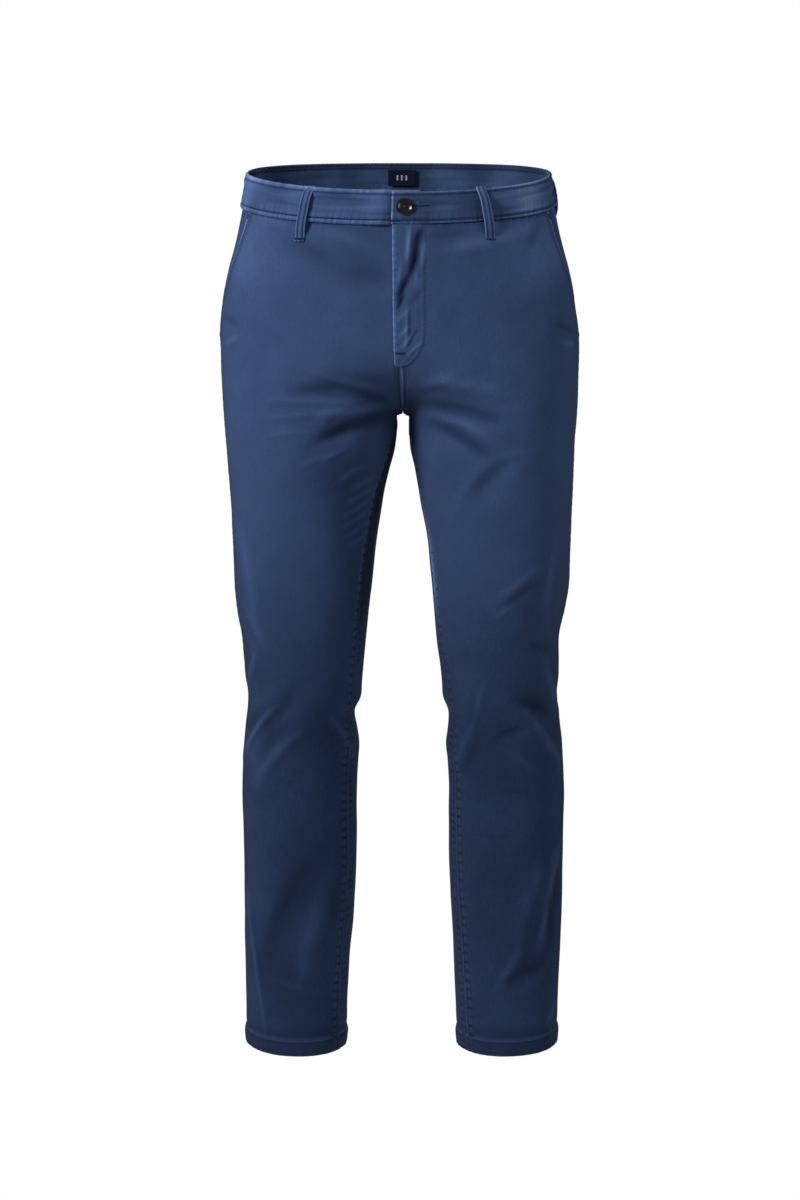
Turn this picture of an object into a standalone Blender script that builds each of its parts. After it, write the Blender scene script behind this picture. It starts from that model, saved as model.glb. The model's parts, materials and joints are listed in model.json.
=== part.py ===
"""Slim chino trousers in the hollow form that they have when worn.

Every piece that a maker would cut and sew on is one closed solid: two front panels, two back
panels, the facings behind the slant pockets, the fly placket, a waistband in three pieces, five
belt loops, two back pocket welts, the waist button and the woven label.

Frame: +X is the wearer's left, -Y is the front, +Z is up. The origin is the middle of the waist,
level with the top edge of the waistband at the side seams, where the wearer holds the garment.
The tables and sizes are in millimetres and degrees, and each mesh is written in metres.
"""

import functools
import math
from collections import namedtuple

import bmesh
import bpy
from mathutils import Vector
from mathutils.bvhtree import BVHTree

MM = 0.001
LEFT, RIGHT = 1, -1
FRONT, BACK = -1, 1

# Cloth and seams
CLOTH = 1.5              # thickness of the twill wall
HEM_CLOTH = 3.0          # the wall where the hem is turned up inside
SEAM_GAP = 0.3           # clearance between two pieces at a seam
LAID_REACH = 4.0         # how far round each of its points a piece that is laid on feels for ridges
HEM_Z = -1083.5          # the hem's edge, which is lower in front and a little so inside
HEM_FALL = 8.0           # from the side to the front, and from the back to the side
HEM_CANT = 1.5
HEM_EASE = 220.0         # height over which the rows of cloth take up that slope

# Waistband
BAND_HEIGHT = 38.5
BAND_CLOTH = 2.6
BAND_PROUD = 1.0         # the band stands this far outside the panels
BAND_TILT = 17.25        # half the fall of the waist from back to front
BAND_DIP = 5.25          # how far front and back sag below that slope
BAND_ROWS = 3
OVERLAP_X = -9.0         # end of the buttonhole side, just past the middle
UNDERLAP_X = 24.0        # end of the button side, behind the other
UNDERLAP_STEP = BAND_CLOTH + SEAM_GAP
UNDERLAP_STEP_AHEAD = (5.0, 1.2)  # the button side steps in between these distances from OVERLAP_X

# The legs meet over a soft bridge: its half width rounds the crotch and the centre seams
BRIDGE = 10.0
CROTCH_Z = -291.0
CROTCH_SIDE_Z = -272.0   # where the row of cloth from the crotch reaches the side seam
TORSO_ROWS = 13
FRONT_COLUMNS = 14
BACK_COLUMNS = 13
LEVEL_ROWS = 6           # rows that ease from the slope of the waist seam to level

# Rows of a leg below the crotch, closer where the cloth folds.
Stretch = namedtuple("Stretch", "rows to_z")
STRETCHES = (
    Stretch(8, -470.0),
    Stretch(4, -600.0),
    Stretch(8, -760.0),
    Stretch(3, -870.0),
    Stretch(7, -1055.0),
)

# Rows of the turned hem: height above its edge, how far it stands out, and its thickness.
HemRow = namedtuple("HemRow", "height out cloth")
HEM_ROWS = (
    HemRow(21.5, -0.3, CLOTH),
    HemRow(18.5, 0.9, HEM_CLOTH),
    HemRow(0.0, 1.0, HEM_CLOTH),
)

# Slant pocket
MOUTH_TOP = 33.0         # from the side seam to the mouth, along the waist seam
MOUTH_END_Z = -203.0
MOUTH_BOW = 0.9          # below 1 the mouth bows forwards
FACING_ROWS_PAST_MOUTH = 1
FACING_COLUMNS = 3
FACING_SLOPE = 16.0      # width over which the facing comes out from under the mouth

# Fly placket
FLY_LEFT_X, FLY_RIGHT_X = -8.0, 32.0
FLY_CURVE_Z, FLY_END_Z = -187.0, -232.0
FLY_TIP = 5.0            # width of the J's end
FLY_CLOTH = 1.3
FLY_COLUMNS, FLY_ROWS = 6, 24

# Back pocket welts
WELT_ANGLES = (39.0, 77.0)
WELT_DROP = 68.0         # below the waist seam
WELT_HEIGHT = 11.0
WELT_CLOTH = 1.4
WELT_COLUMNS, WELT_ROWS = 12, 2

# Belt loops
LOOP_WIDTH = 12.0
LOOP_CLOTH = 1.5
LOOP_COLUMNS = 2

# Waist button and label
BUTTON_X, BUTTON_DROP = 6.7, 18.0
BUTTON_RADIUS = 10.2
BUTTON_HOLE_RADIUS, BUTTON_HOLE_SPREAD = 1.1, 2.1
BUTTON_SIDES = 32
LABEL_X, LABEL_WIDTH = 3.5, 35.0
LABEL_TOP, LABEL_HEIGHT = 6.5, 26.0
LABEL_CLOTH = 0.8
LABEL_COLUMNS, LABEL_ROWS = 6, 2

# One row for each section of the half garment, from the waist down. outer and inner are the
# distances from the middle to the outside and the inside of the leg; above the crotch inner is
# negative, which closes the two legs into one body. front and back are measured from mid_y, the
# depth of the widest line. square is the power of the oval. lean_in and lean_out move the middle
# and the outside to the wearer's left. outseam turns the side seam forwards, and inseam_right
# and inseam_left turn the inseams.
Section = namedtuple(
    "Section",
    "z outer inner front back mid_y square lean_in lean_out outseam inseam_right inseam_left",
)
SECTIONS = (
    Section(30, 180, -180, 88, 82, 0, 2.20, -1.0, -1.5, 0, 0, 0),
    Section(0, 184, -184, 92, 88, 0, 2.20, -1.0, -1.5, 0, 0, 0),
    Section(-40, 191, -191, 97, 94, 0, 2.20, -1.0, -1.5, 0, 0, 0),
    Section(-80, 199, -199, 102, 103, 0, 2.20, -1.0, -1.5, 0, 0, 0),
    Section(-120, 210, -210, 106, 113, 0, 2.20, -0.8, -1.5, 0, 0, 0),
    Section(-160, 217.5, -213, 108, 121, 0, 2.20, -0.4, -1.5, 0, 0, 0),
    Section(-200, 221, -164, 108, 125, 0, 2.20, 0.4, -0.5, 0, 0, 0),
    Section(-230, 220.5, -88, 107, 124, 0, 2.15, 1.2, 0, 0, 0, 0),
    Section(-255, 219.5, -37, 106, 121, 0, 2.15, 2.2, 0, 0, 0, 0),
    Section(-275, 219, -4.5, 104, 117, 0, 2.10, 3.0, 0.3, 0, 0, 0),
    Section(-288, 218.5, 8.4, 103, 114, 0, 2.10, 3.5, 0.5, 0, 0, 0),
    Section(CROTCH_Z, 218.5, 10, 103, 113, 0, 2.10, 3.6, 0.5, 0, 0, 0),
    Section(-297, 218, 11.4, 102, 111, 0, 2.10, 3.6, 0.5, -1, 3, 1),
    Section(-314, 216.5, 11.9, 101, 107, 0, 2.10, 3.4, 0.2, -1, 9, 3),
    Section(-332, 215.5, 13.2, 100, 104, 0, 2.10, 3.0, 0.6, -1, 14, 5),
    Section(-369, 213.5, 20, 98, 98, 1, 2.10, 2.6, 1.5, -2, 20, 8),
    Section(-406, 211.5, 26, 96, 93, 2, 2.10, 2.2, 2.0, -3, 24, 10),
    Section(-444, 209.5, 32.4, 93, 88, 3, 2.10, 2.4, 2.4, -4, 27, 11),
    Section(-500, 208, 38, 89, 80, 3, 2.10, 2.4, 2.4, -6, 29, 13),
    Section(-537, 203.5, 41.5, 86, 76, 3, 2.10, 2.2, 1.2, -7, 30, 15),
    Section(-574, 197, 45, 83, 72, 3, 2.10, 1.8, 0.8, -8, 30, 18),
    Section(-612, 196, 49.5, 79, 69, 3, 2.10, 2.2, 3.0, -10, 31, 22),
    Section(-650, 192, 52.5, 76, 67, 3, 2.10, 2.4, 3.0, -12, 31, 25),
    Section(-669, 195, 57.5, 74, 66, 4, 2.10, 2.6, 3.2, -13, 31, 26),
    Section(-700, 198.5, 56.5, 71, 66, 5, 2.10, 2.8, 4.2, -14, 32, 27),
    Section(-763, 201, 58.0, 67, 67, 8, 2.10, 3.2, 4.0, -17, 32, 28),
    Section(-839, 200, 58.5, 65, 67, 10, 2.10, 3.4, 4.2, -20, 33, 29),
    Section(-915, 199.5, 62.0, 62, 64, 12, 2.10, 3.2, 4.0, -23, 33, 31),
    Section(-992, 197.5, 67.0, 60, 61, 13, 2.10, 2.0, 2.8, -27, 33, 34),
    Section(-1050, 196.5, 69.5, 59, 59, 13, 2.10, 1.8, 2.6, -30, 33, 37),
    Section(-1100, 196, 70.5, 59, 59, 13, 2.10, 1.8, 2.4, -31, 33, 38),
)

# One row for each large fold. It runs over the cloth from one end to the other, an angle round
# the leg (0 outside, -90 front, 180 inside, 90 back) and a height. bend bows its middle up, or
# inwards on an upright one. width is from its middle to where it has faded, and rise is
# outwards, so a trough has a negative one.
Fold = namedtuple("Fold", "side angle z to_angle to_z bend width rise")
FOLDS = (
    # tension below the waistband
    Fold(RIGHT, -50, -88, -93, -136, 5, 14, -2.0),
    Fold(RIGHT, -60, -80, -93, -100, 0, 12, 1.5),
    Fold(LEFT, -82, -97, -28, -66, 0, 13, 1.8),
    # whiskers from the crotch over the front of the thighs
    Fold(RIGHT, -76, -253, -137, -270, 7, 13, -7.0),
    Fold(RIGHT, -93, -277, -142, -280, 0, 12, 3.5),
    Fold(RIGHT, -97, -322, -158, -290, 13, 13, -8.0),
    Fold(LEFT, -121, -254, -83, -258, 0, 12, 2.5),
    Fold(LEFT, -141, -271, -79, -284, 6, 12, -7.0),
    Fold(LEFT, -148, -283, -94, -308, 4, 11, 3.0),
    Fold(LEFT, -145, -290, -89, -332, 4, 12, -6.5),
    # slack over the thighs
    Fold(LEFT, -124, -412, -90, -338, 4, 11, 3.5),
    Fold(LEFT, -90, -338, -58, -340, 0, 10, 2.0),
    Fold(LEFT, -108, -391, -76, -340, 0, 10, -4.5),
    Fold(LEFT, -98, -517, -64, -473, 0, 13, 4.0),
    Fold(LEFT, -92, -552, -62, -520, 0, 13, 2.5),
    Fold(LEFT, -39, -466, -48, -566, 0, 10, 3.0),
    Fold(RIGHT, -22, -428, -54, -568, 0, 12, 3.5),
    Fold(RIGHT, -128, -420, -158, -385, 0, 10, -2.5),
    # the knees
    Fold(RIGHT, -52, -576, -24, -642, 0, 11, 3.5),
    Fold(RIGHT, -40, -650, -8, -646, 0, 12, -4.0),
    Fold(RIGHT, -22, -708, -75, -629, 4, 11, 6.0),
    Fold(RIGHT, -48, -702, -84, -634, 0, 11, -5.0),
    Fold(RIGHT, -43, -760, -98, -646, 0, 16, 3.5),
    Fold(RIGHT, -128, -672, -158, -706, 0, 10, 3.0),
    Fold(RIGHT, -152, -664, -198, -672, 0, 9, -4.0),
    Fold(RIGHT, -168, -706, -196, -716, 0, 9, 2.5),
    Fold(LEFT, -45, -586, -12, -674, 4, 10, 4.0),
    Fold(LEFT, -22, -556, -14, -632, 0, 12, -4.5),
    Fold(LEFT, -69, -650, -27, -734, 0, 11, 6.0),
    Fold(LEFT, -76, -630, -38, -698, 0, 11, -5.0),
    Fold(LEFT, -100, -684, -68, -678, 0, 10, -2.5),
    Fold(LEFT, -108, -596, -149, -728, 0, 13, 4.0),
    Fold(LEFT, -150, -668, -200, -674, 0, 9, -4.0),
    Fold(LEFT, -168, -704, -196, -712, 0, 9, 2.5),
    # the shins, down to the break over the foot
    Fold(RIGHT, -136, -842, -96, -998, 0, 20, 4.5),
    Fold(RIGHT, -110, -880, -50, -988, 0, 19, -5.0),
    Fold(RIGHT, -20, -888, -54, -1062, 0, 9, 4.5),
    Fold(RIGHT, -56, -996, -93, -1005, 0, 11, 2.5),
    Fold(LEFT, -26, -828, -80, -958, 12, 10, 5.5),
    Fold(LEFT, -18, -858, -40, -972, 0, 10, -6.5),
    Fold(LEFT, -42, -976, -98, -1000, 0, 14, -6.5),
    Fold(LEFT, -22, -1024, -42, -1064, 0, 8, 3.5),
    # under the seat
    Fold(RIGHT, 146, -306, 62, -322, -8, 15, -6.0),
    Fold(RIGHT, 140, -346, 70, -376, -6, 14, -4.5),
    Fold(LEFT, 146, -304, 58, -328, -8, 15, -6.0),
    Fold(LEFT, 138, -352, 74, -388, -6, 14, -4.5),
    # behind the knees and above the ankles
    Fold(RIGHT, 34, -652, 138, -636, 6, 11, -5.5),
    Fold(RIGHT, 46, -694, 150, -680, -6, 10, -5.0),
    Fold(RIGHT, 52, -674, 132, -660, 0, 12, 3.0),
    Fold(LEFT, 30, -640, 134, -654, 6, 11, -5.5),
    Fold(LEFT, 44, -682, 146, -700, -6, 10, -5.0),
    Fold(LEFT, 50, -662, 130, -676, 0, 12, 3.0),
    Fold(RIGHT, 40, -930, 118, -1010, 0, 14, -4.5),
    Fold(RIGHT, 62, -900, 136, -968, 0, 16, 3.0),
    Fold(LEFT, 52, -1004, 128, -938, 0, 14, -4.5),
    Fold(LEFT, 40, -962, 116, -902, 0, 16, 3.0),
)
FOLD_FADE = 26.0         # folds die out this near the centre seams, so that their edges match

# The belt loops: side, angle round the waist, and how strongly each is bowed out. The path goes
# down from the band's top edge, out over the belt and back to the panel.
Loop = namedtuple("Loop", "name side angle bow")
LOOPS = (
    Loop("belt_loop_front_right", RIGHT, -55.0, 1.05),
    Loop("belt_loop_front_left", LEFT, -58.5, 1.0),
    Loop("belt_loop_side_right", RIGHT, 20.0, 1.1),
    Loop("belt_loop_side_left", LEFT, 12.0, 1.05),
    Loop("belt_loop_back", LEFT, 90.0, 0.95),
)
LoopPoint = namedtuple("LoopPoint", "drop out")
LOOP_PATH = (
    LoopPoint(1.0, 0.0),
    LoopPoint(5.5, 0.1),
    LoopPoint(8.5, 2.2),
    LoopPoint(12.5, 4.6),
    LoopPoint(19.0, 5.9),
    LoopPoint(27.0, 6.4),
    LoopPoint(36.0, 6.3),
    LoopPoint(44.0, 5.4),
    LoopPoint(50.0, 3.9),
    LoopPoint(54.5, 1.8),
    LoopPoint(58.0, 0.1),
    LoopPoint(64.0, 0.0),
)

# Half of the button's turned section, from the middle of its face to the middle of its back.
ButtonPoint = namedtuple("ButtonPoint", "radius height")
BUTTON_PROFILE = (
    ButtonPoint(0.0, 2.1),
    ButtonPoint(5.9, 2.1),
    ButtonPoint(6.9, 2.7),
    ButtonPoint(8.1, 3.4),
    ButtonPoint(9.4, 3.2),
    ButtonPoint(BUTTON_RADIUS, 2.3),
    ButtonPoint(9.6, 1.1),
    ButtonPoint(8.0, 0.2),
    ButtonPoint(0.0, 0.0),
)


# ---- The form of the body ------------------------------------------------------------------


def ease(t):
    """0 to 1 with a soft start and end."""
    t = min(max(t, 0.0), 1.0)
    return t * t * (3 - 2 * t)


def monotone_slopes(xs, ys):
    """The slopes of a cubic through the points that never swings past them."""
    steps = [(y1 - y0) / (x1 - x0) for x0, x1, y0, y1 in zip(xs, xs[1:], ys, ys[1:])]
    slopes = [steps[0]]
    for before, after in zip(steps, steps[1:]):
        same_way = before * after > 0
        slopes.append(2 * before * after / (before + after) if same_way else 0.0)
    return slopes + [steps[-1]]


LEVELS = [-row.z for row in SECTIONS]
COLUMNS = [[row[c] for row in SECTIONS] for c in range(len(Section._fields))]
SLOPES = [monotone_slopes(LEVELS, column) for column in COLUMNS]


@functools.lru_cache(maxsize=None)
def section(z):
    """The section table read at any height, as a smooth curve through its rows."""
    at = -z
    i = next((k for k in range(len(LEVELS) - 2) if at < LEVELS[k + 1]), len(LEVELS) - 2)
    span = LEVELS[i + 1] - LEVELS[i]
    t = (at - LEVELS[i]) / span
    blend = (2 * t**3 - 3 * t**2 + 1, t**3 - 2 * t**2 + t, 3 * t**2 - 2 * t**3, t**3 - t**2)
    values = [
        blend[0] * ys[i] + blend[1] * span * ms[i] + blend[2] * ys[i + 1] + blend[3] * span * ms[i + 1]
        for ys, ms in zip(COLUMNS, SLOPES)
    ]
    return Section(*values)


def middle_and_half(s):
    """The distance from the body's middle to the section's own middle, and its half width."""
    return (s.outer + s.inner) / 2, (s.outer - s.inner) / 2


def signed_power(value, power):
    return math.copysign(abs(value) ** power, value)


def fullness(x, y, z):
    """1 on the cloth, less inside it. x is the distance from the body's middle."""
    s = section(z)
    middle, half = middle_and_half(s)
    across = (math.hypot(x, BRIDGE) - middle) / half
    along = (y - s.mid_y) / (s.back if y > s.mid_y else s.front)
    return (abs(across) ** s.square + abs(along) ** s.square) ** (1 / s.square)


def outward(x, y, z, step=0.5):
    """The direction straight out of the cloth."""
    return Vector((
        fullness(x + step, y, z) - fullness(x - step, y, z),
        fullness(x, y + step, z) - fullness(x, y - step, z),
        fullness(x, y, z + step) - fullness(x, y, z - step),
    )).normalized()


def fold_rise(side, angle, z, x):
    """How far the folds lift the cloth here."""
    s = section(z)
    radius = (middle_and_half(s)[1] + (s.front + s.back) / 2) / 2
    rise = 0.0
    for fold in FOLDS:
        if fold.side != side:
            continue
        turn = (math.degrees(angle) - fold.angle + 180) % 360 - 180
        here = Vector((math.radians(turn) * radius, z - fold.z))
        way = Vector((math.radians(fold.to_angle - fold.angle) * radius, fold.to_z - fold.z))
        along = min(max(here.dot(way) / way.length_squared, 0.0), 1.0)
        up = Vector((-way.y, way.x)).normalized() * math.copysign(1.0, way.x)
        away = (here - along * way - up * fold.bend * 4 * along * (1 - along)).length
        swell = 0.35 + 0.65 * math.sin(math.pi * along)
        rise += fold.rise * swell * math.exp(-((away / fold.width) ** 2))
    near_middle = ease((z - CROTCH_Z) / 50 + 1)
    return rise * (1 - near_middle * (1 - ease(x / FOLD_FADE)))


def cloth(side, angle, z, out=0.0):
    """A point of the garment's outer surface, moved out along its normal, and that normal."""
    s = section(z)
    middle, half = middle_and_half(s)
    power = 2 / s.square
    across = middle + half * signed_power(math.cos(angle), power)
    depth = s.back if math.sin(angle) > 0 else s.front
    x = math.sqrt(max(across**2 - BRIDGE**2, 0.0))
    y = s.mid_y + depth * signed_power(math.sin(angle), power)
    normal = outward(x, y, z)
    normal.x *= side
    lift = fold_rise(side, angle, z, x) + out
    lean = s.lean_in + (s.lean_out - s.lean_in) * x / s.outer
    return Vector((side * x + lean, y, z)) + normal * lift, normal


def angle_at(x, face, z):
    """The angle round the half body at this distance from its middle, on the front or back."""
    s = section(z)
    middle, half = middle_and_half(s)
    cosine = signed_power((math.hypot(x, BRIDGE) - middle) / half, s.square / 2)
    return face * math.acos(min(max(cosine, -1.0), 1.0))


def inner_angle(side, face, z):
    """Where a panel starts: at the centre seam above the crotch, and at the inseam below it."""
    if z >= CROTCH_Z:
        return angle_at(0.0, face, z)
    s = section(z)
    turn = s.inseam_right if side == RIGHT else s.inseam_left
    return math.radians(180 * face + turn)


def band_top(angle):
    """The height of the waistband's top edge, which slopes down to the front."""
    return BAND_TILT * math.sin(angle) - BAND_DIP * math.sin(angle) ** 2


# ---- Closed walls --------------------------------------------------------------------------


def linked(name, mesh, material):
    thing = bpy.data.objects.new(name, mesh)
    mesh.materials.append(material)
    bpy.context.scene.collection.objects.link(thing)
    return thing


def finished(name, shape, material):
    """The object of a bmesh that was modelled in millimetres."""
    bmesh.ops.scale(shape, vec=(MM, MM, MM), verts=shape.verts)
    bmesh.ops.recalc_face_normals(shape, faces=shape.faces)
    bmesh.ops.triangulate(shape, faces=shape.faces, quad_method="SHORT_EDGE")
    mesh = bpy.data.meshes.new(name)
    shape.to_mesh(mesh)
    shape.free()
    mesh.shade_smooth()
    mesh.set_sharp_from_angle(angle=math.radians(50))
    return linked(name, mesh, material)


def wall(name, outer, inner, material):
    """A closed wall between two grids of points that have the same rows and columns."""
    shape = bmesh.new()
    skins = [[[shape.verts.new(p) for p in row] for row in skin] for skin in (outer, inner)]
    rows, columns = len(outer), len(outer[0])
    for skin in skins:
        for i in range(rows - 1):
            for j in range(columns - 1):
                shape.faces.new((skin[i][j], skin[i + 1][j], skin[i + 1][j + 1], skin[i][j + 1]))
    rim = [(0, j) for j in range(columns)]
    rim += [(i, columns - 1) for i in range(1, rows)]
    rim += [(rows - 1, j) for j in range(columns - 2, -1, -1)]
    rim += [(i, 0) for i in range(rows - 2, 0, -1)]
    for (i, j), (k, m) in zip(rim, rim[1:] + rim[:1]):
        shape.faces.new((skins[0][i][j], skins[0][k][m], skins[1][k][m], skins[1][i][j]))
    return finished(name, shape, material)


def skins(surface, rows, columns, thickness):
    """The outer and inner grids of surface(i, j), which gives a point and its normal."""
    grid = [[surface(i, j) for j in range(columns + 1)] for i in range(rows + 1)]
    outer = [[p for p, _ in row] for row in grid]
    inner = [[p - n * thickness(i) for p, n in row] for i, row in enumerate(grid)]
    return outer, inner


def draw_in(skin):
    """Moves the two long edges of a grid in by half a seam's clearance."""
    for row in skin:
        for edge, beside in ((0, 1), (-1, -2)):
            row[edge] += (row[beside] - row[edge]).normalized() * SEAM_GAP / 2


# ---- The leg panels ------------------------------------------------------------------------


@functools.lru_cache(maxsize=None)
def centre_seam_levels(face):
    """Heights that part the centre seam from waist to crotch into stretches of one length."""
    top = band_top(math.radians(90 * face)) - BAND_HEIGHT - SEAM_GAP
    steps = 200
    heights = [CROTCH_Z + (top - CROTCH_Z) * (1 - k / steps) ** 2 for k in range(steps + 1)]
    points = [cloth(LEFT, angle_at(0.0, face, z), z)[0] for z in heights]
    lengths = [0.0]
    for a, b in zip(points, points[1:]):
        lengths.append(lengths[-1] + (b - a).length)
    levels = []
    for row in range(TORSO_ROWS):
        want = lengths[-1] * row / TORSO_ROWS
        k = max(n for n in range(steps) if lengths[n] <= want)
        share = (want - lengths[k]) / (lengths[k + 1] - lengths[k])
        levels.append(heights[k] + (heights[k + 1] - heights[k]) * share)
    return tuple(levels) + (CROTCH_Z,)


@functools.lru_cache(maxsize=None)
def leg_levels():
    """Heights of the rows of a leg at its side seam, down to the top of the turned hem."""
    levels, above = [], CROTCH_SIDE_Z
    for stretch in STRETCHES:
        step = (stretch.to_z - above) / stretch.rows
        levels += [above + step * (k + 1) for k in range(stretch.rows)]
        above = stretch.to_z
    return tuple(levels)


def row_levels(face, row):
    """The heights of a row of cloth at the inner seam and at the side seam."""
    side_top = band_top(0.0) - BAND_HEIGHT - SEAM_GAP
    if row <= TORSO_ROWS:
        at_side = side_top + (CROTCH_SIDE_Z - side_top) * row / TORSO_ROWS
        return centre_seam_levels(face)[row], at_side
    below = row - TORSO_ROWS - 1
    levels = leg_levels()
    if below >= len(levels):
        at_side = HEM_Z + HEM_ROWS[below - len(levels)].height
        return at_side, at_side
    at_side = levels[below]
    t = (below + 1) / len(levels)
    return at_side + (CROTCH_Z - CROTCH_SIDE_Z) * (1 - t) ** 2, at_side


def mouth_turn(z):
    """How far the slant pocket's mouth lies in front of the side seam, as an angle."""
    top = band_top(0.0) - BAND_HEIGHT
    away = MOUTH_TOP * max((z - MOUTH_END_Z) / (top - MOUTH_END_Z), 0.0) ** MOUTH_BOW
    return away / section(z).front


def panel_place(side, face, row, column, columns):
    """The angle and height of one point of a leg panel."""
    inner_z, side_z = row_levels(face, row)
    start = inner_angle(side, face, inner_z)
    end = math.radians(section(side_z).outseam)
    if face == FRONT:
        end -= mouth_turn(side_z)
    t = column / columns
    angle = start + (end - start) * t
    z = inner_z + (side_z - inner_z) * ease(t)
    if 0 < row < LEVEL_ROWS:
        top_angle, top_z = panel_place(side, face, 0, column, columns)
        first = row_levels(face, 0)
        slope = top_z - (first[0] + (first[1] - first[0]) * ease(t))
        z += slope * (1 - row / LEVEL_ROWS) ** 2
    elif row == 0:
        z = band_top(angle) - BAND_HEIGHT - SEAM_GAP
    hem_slope = HEM_FALL * math.sin(angle) + HEM_CANT * math.cos(angle)
    return angle, z + hem_slope * ease(1 - (z - HEM_Z) / HEM_EASE)


def panel_columns(face):
    return FRONT_COLUMNS if face == FRONT else BACK_COLUMNS


def panel_skins(side, face):
    columns = panel_columns(face)
    last_plain = TORSO_ROWS + len(leg_levels())

    def hem_row(row):
        return HEM_ROWS[row - last_plain - 1] if row > last_plain else HemRow(0, 0.0, CLOTH)

    def surface(row, column):
        return cloth(side, *panel_place(side, face, row, column, columns), hem_row(row).out)

    rows = last_plain + len(HEM_ROWS)
    both = skins(surface, rows, columns, lambda row: hem_row(row).cloth)
    for skin in both:
        draw_in(skin)
        for row in skin[: TORSO_ROWS + 1]:
            middle = section(row[0].z).lean_in
            if abs(row[0].x - middle) < SEAM_GAP / 2:
                row[0].x = middle + side * SEAM_GAP / 2
    return both


def pocket_facing(name, side, material):
    """The cloth behind the slant mouth: it starts under the front panel and ends at the side seam."""
    rows = next(r for r in range(TORSO_ROWS) if row_levels(FRONT, r)[1] < MOUTH_END_Z)
    rows += FACING_ROWS_PAST_MOUTH
    under = CLOTH + SEAM_GAP
    outer, inner = [], []
    for row in range(rows):
        hidden = [panel_place(side, FRONT, row, FRONT_COLUMNS - k, FRONT_COLUMNS) for k in (1, 0)]
        mouth, side_z = hidden[-1][0], row_levels(FRONT, row)[1]
        seam = math.radians(section(side_z).outseam)
        open_width = (seam - mouth) * section(side_z).front
        points = []
        for place in hidden:
            point, normal = cloth(side, *place)
            points.append((point - normal * under, normal))
        for k in range(1, FACING_COLUMNS + 1):
            angle = mouth + (seam - mouth) * k / FACING_COLUMNS
            z = side_z + (hidden[-1][1] - side_z) * (1 - k / FACING_COLUMNS)
            point, normal = cloth(side, angle, z)
            sunk = under * (1 - ease(open_width * k / FACING_COLUMNS / FACING_SLOPE))
            points.append((point - normal * sunk, normal))
        if open_width < SEAM_GAP * FACING_COLUMNS * 4:
            # past the mouth the facing ends in a narrow tail under the front panel
            start, end = points[0], points[1]
            points[1:] = [
                (start[0].lerp(end[0], k / (FACING_COLUMNS + 1)), start[1])
                for k in range(1, FACING_COLUMNS + 2)
            ]
        outer.append([p for p, _ in points])
        inner.append([p - n * CLOTH for p, n in points])
    for skin in (outer, inner):
        draw_in(skin)
    return wall(name, outer, inner, material)


# ---- Pieces laid on the panels -------------------------------------------------------------


def surface_tree(pieces):
    """The facets of finished pieces in millimetres, for laying another piece on them."""
    points, faces = [], []
    for piece in pieces:
        first = len(points)
        points += [v.co / MM for v in piece.data.vertices]
        faces += [[first + i for i in f.vertices] for f in piece.data.polygons]
    return BVHTree.FromPolygons(points, faces, all_triangles=True)


def laid(tree, point, normal, out, reach=0.0):
    """The point moved out from the highest facet within reach of it, and its normal."""
    far = 25.0
    across = normal.orthogonal().normalized()
    along = normal.cross(across)
    heights = []
    for aside in (across * 0, across, -across, along, -along):
        start = point + aside * reach + normal * far
        hit = tree.ray_cast(start, -normal, 2 * far)[0]
        heights.append((hit - point).dot(normal) if hit else 0.0)
    return point + normal * (max(heights) + out), normal


def fly_placket(tree, material):
    """The placket over the centre front, with its J-shaped end."""
    top = band_top(math.radians(-90)) - BAND_HEIGHT - 2 * SEAM_GAP
    crowding = 0.1  # the rows are closer towards the J

    def surface(row, column):
        t = row / FLY_ROWS
        z = top + (FLY_END_Z - top) * (t + crowding * math.sin(math.pi * t))
        bend = max((FLY_CURVE_Z - z) / (FLY_CURVE_Z - FLY_END_Z), 0.0)
        width = FLY_TIP + (FLY_RIGHT_X - FLY_LEFT_X - FLY_TIP) * math.sqrt(max(1 - bend**2, 0))
        x = FLY_LEFT_X + width * column / FLY_COLUMNS
        side = LEFT if x >= 0 else RIGHT
        point, normal = cloth(side, angle_at(abs(x), FRONT, z), z)
        return laid(tree, point, normal, SEAM_GAP + FLY_CLOTH, LAID_REACH)

    outer, inner = skins(surface, FLY_ROWS, FLY_COLUMNS, lambda row: FLY_CLOTH)
    return wall("fly_placket", outer, inner, material)


def back_welt(name, side, tree, material):
    """The bound strip of a back pocket, which lies along the waist's slope."""
    start, end = (math.radians(a) for a in WELT_ANGLES)

    def surface(row, column):
        angle = start + (end - start) * column / WELT_COLUMNS
        z = band_top(angle) - BAND_HEIGHT - WELT_DROP - WELT_HEIGHT * row / WELT_ROWS
        point, normal = cloth(side, angle, z)
        return laid(tree, point, normal, SEAM_GAP + WELT_CLOTH, LAID_REACH)

    outer, inner = skins(surface, WELT_ROWS, WELT_COLUMNS, lambda row: WELT_CLOTH)
    return wall(name, outer, inner, material)


# ---- The waistband -------------------------------------------------------------------------


def waist_place(station, z):
    """Side and angle of a station round the waist: 0 centre front, 90 left side, 180 back."""
    side = LEFT if (station + 360) % 360 <= 180 else RIGHT
    turn = abs((station + 180) % 360 - 180)
    limit = angle_at(0.0, BACK, z)
    return side, -limit + 2 * limit * turn / 180


def station_of(x):
    """The station at a small distance from the centre front."""
    z = band_top(math.radians(-90)) - BAND_HEIGHT / 2
    limit = angle_at(0.0, BACK, z)
    turn = (angle_at(abs(x), FRONT, z) + limit) / (2 * limit) * 180
    return math.copysign(turn, x)


def band_skins(stations, sunk=lambda station: 0.0, out=BAND_PROUD, thickness=BAND_CLOTH):
    def surface(row, column):
        station = stations[column]
        side, angle = waist_place(station, -BAND_HEIGHT / 2)
        z = band_top(angle) - BAND_HEIGHT * row / BAND_ROWS
        return cloth(side, angle, z, out - sunk(station))

    return skins(surface, BAND_ROWS, len(stations) - 1, lambda row: thickness)


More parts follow.
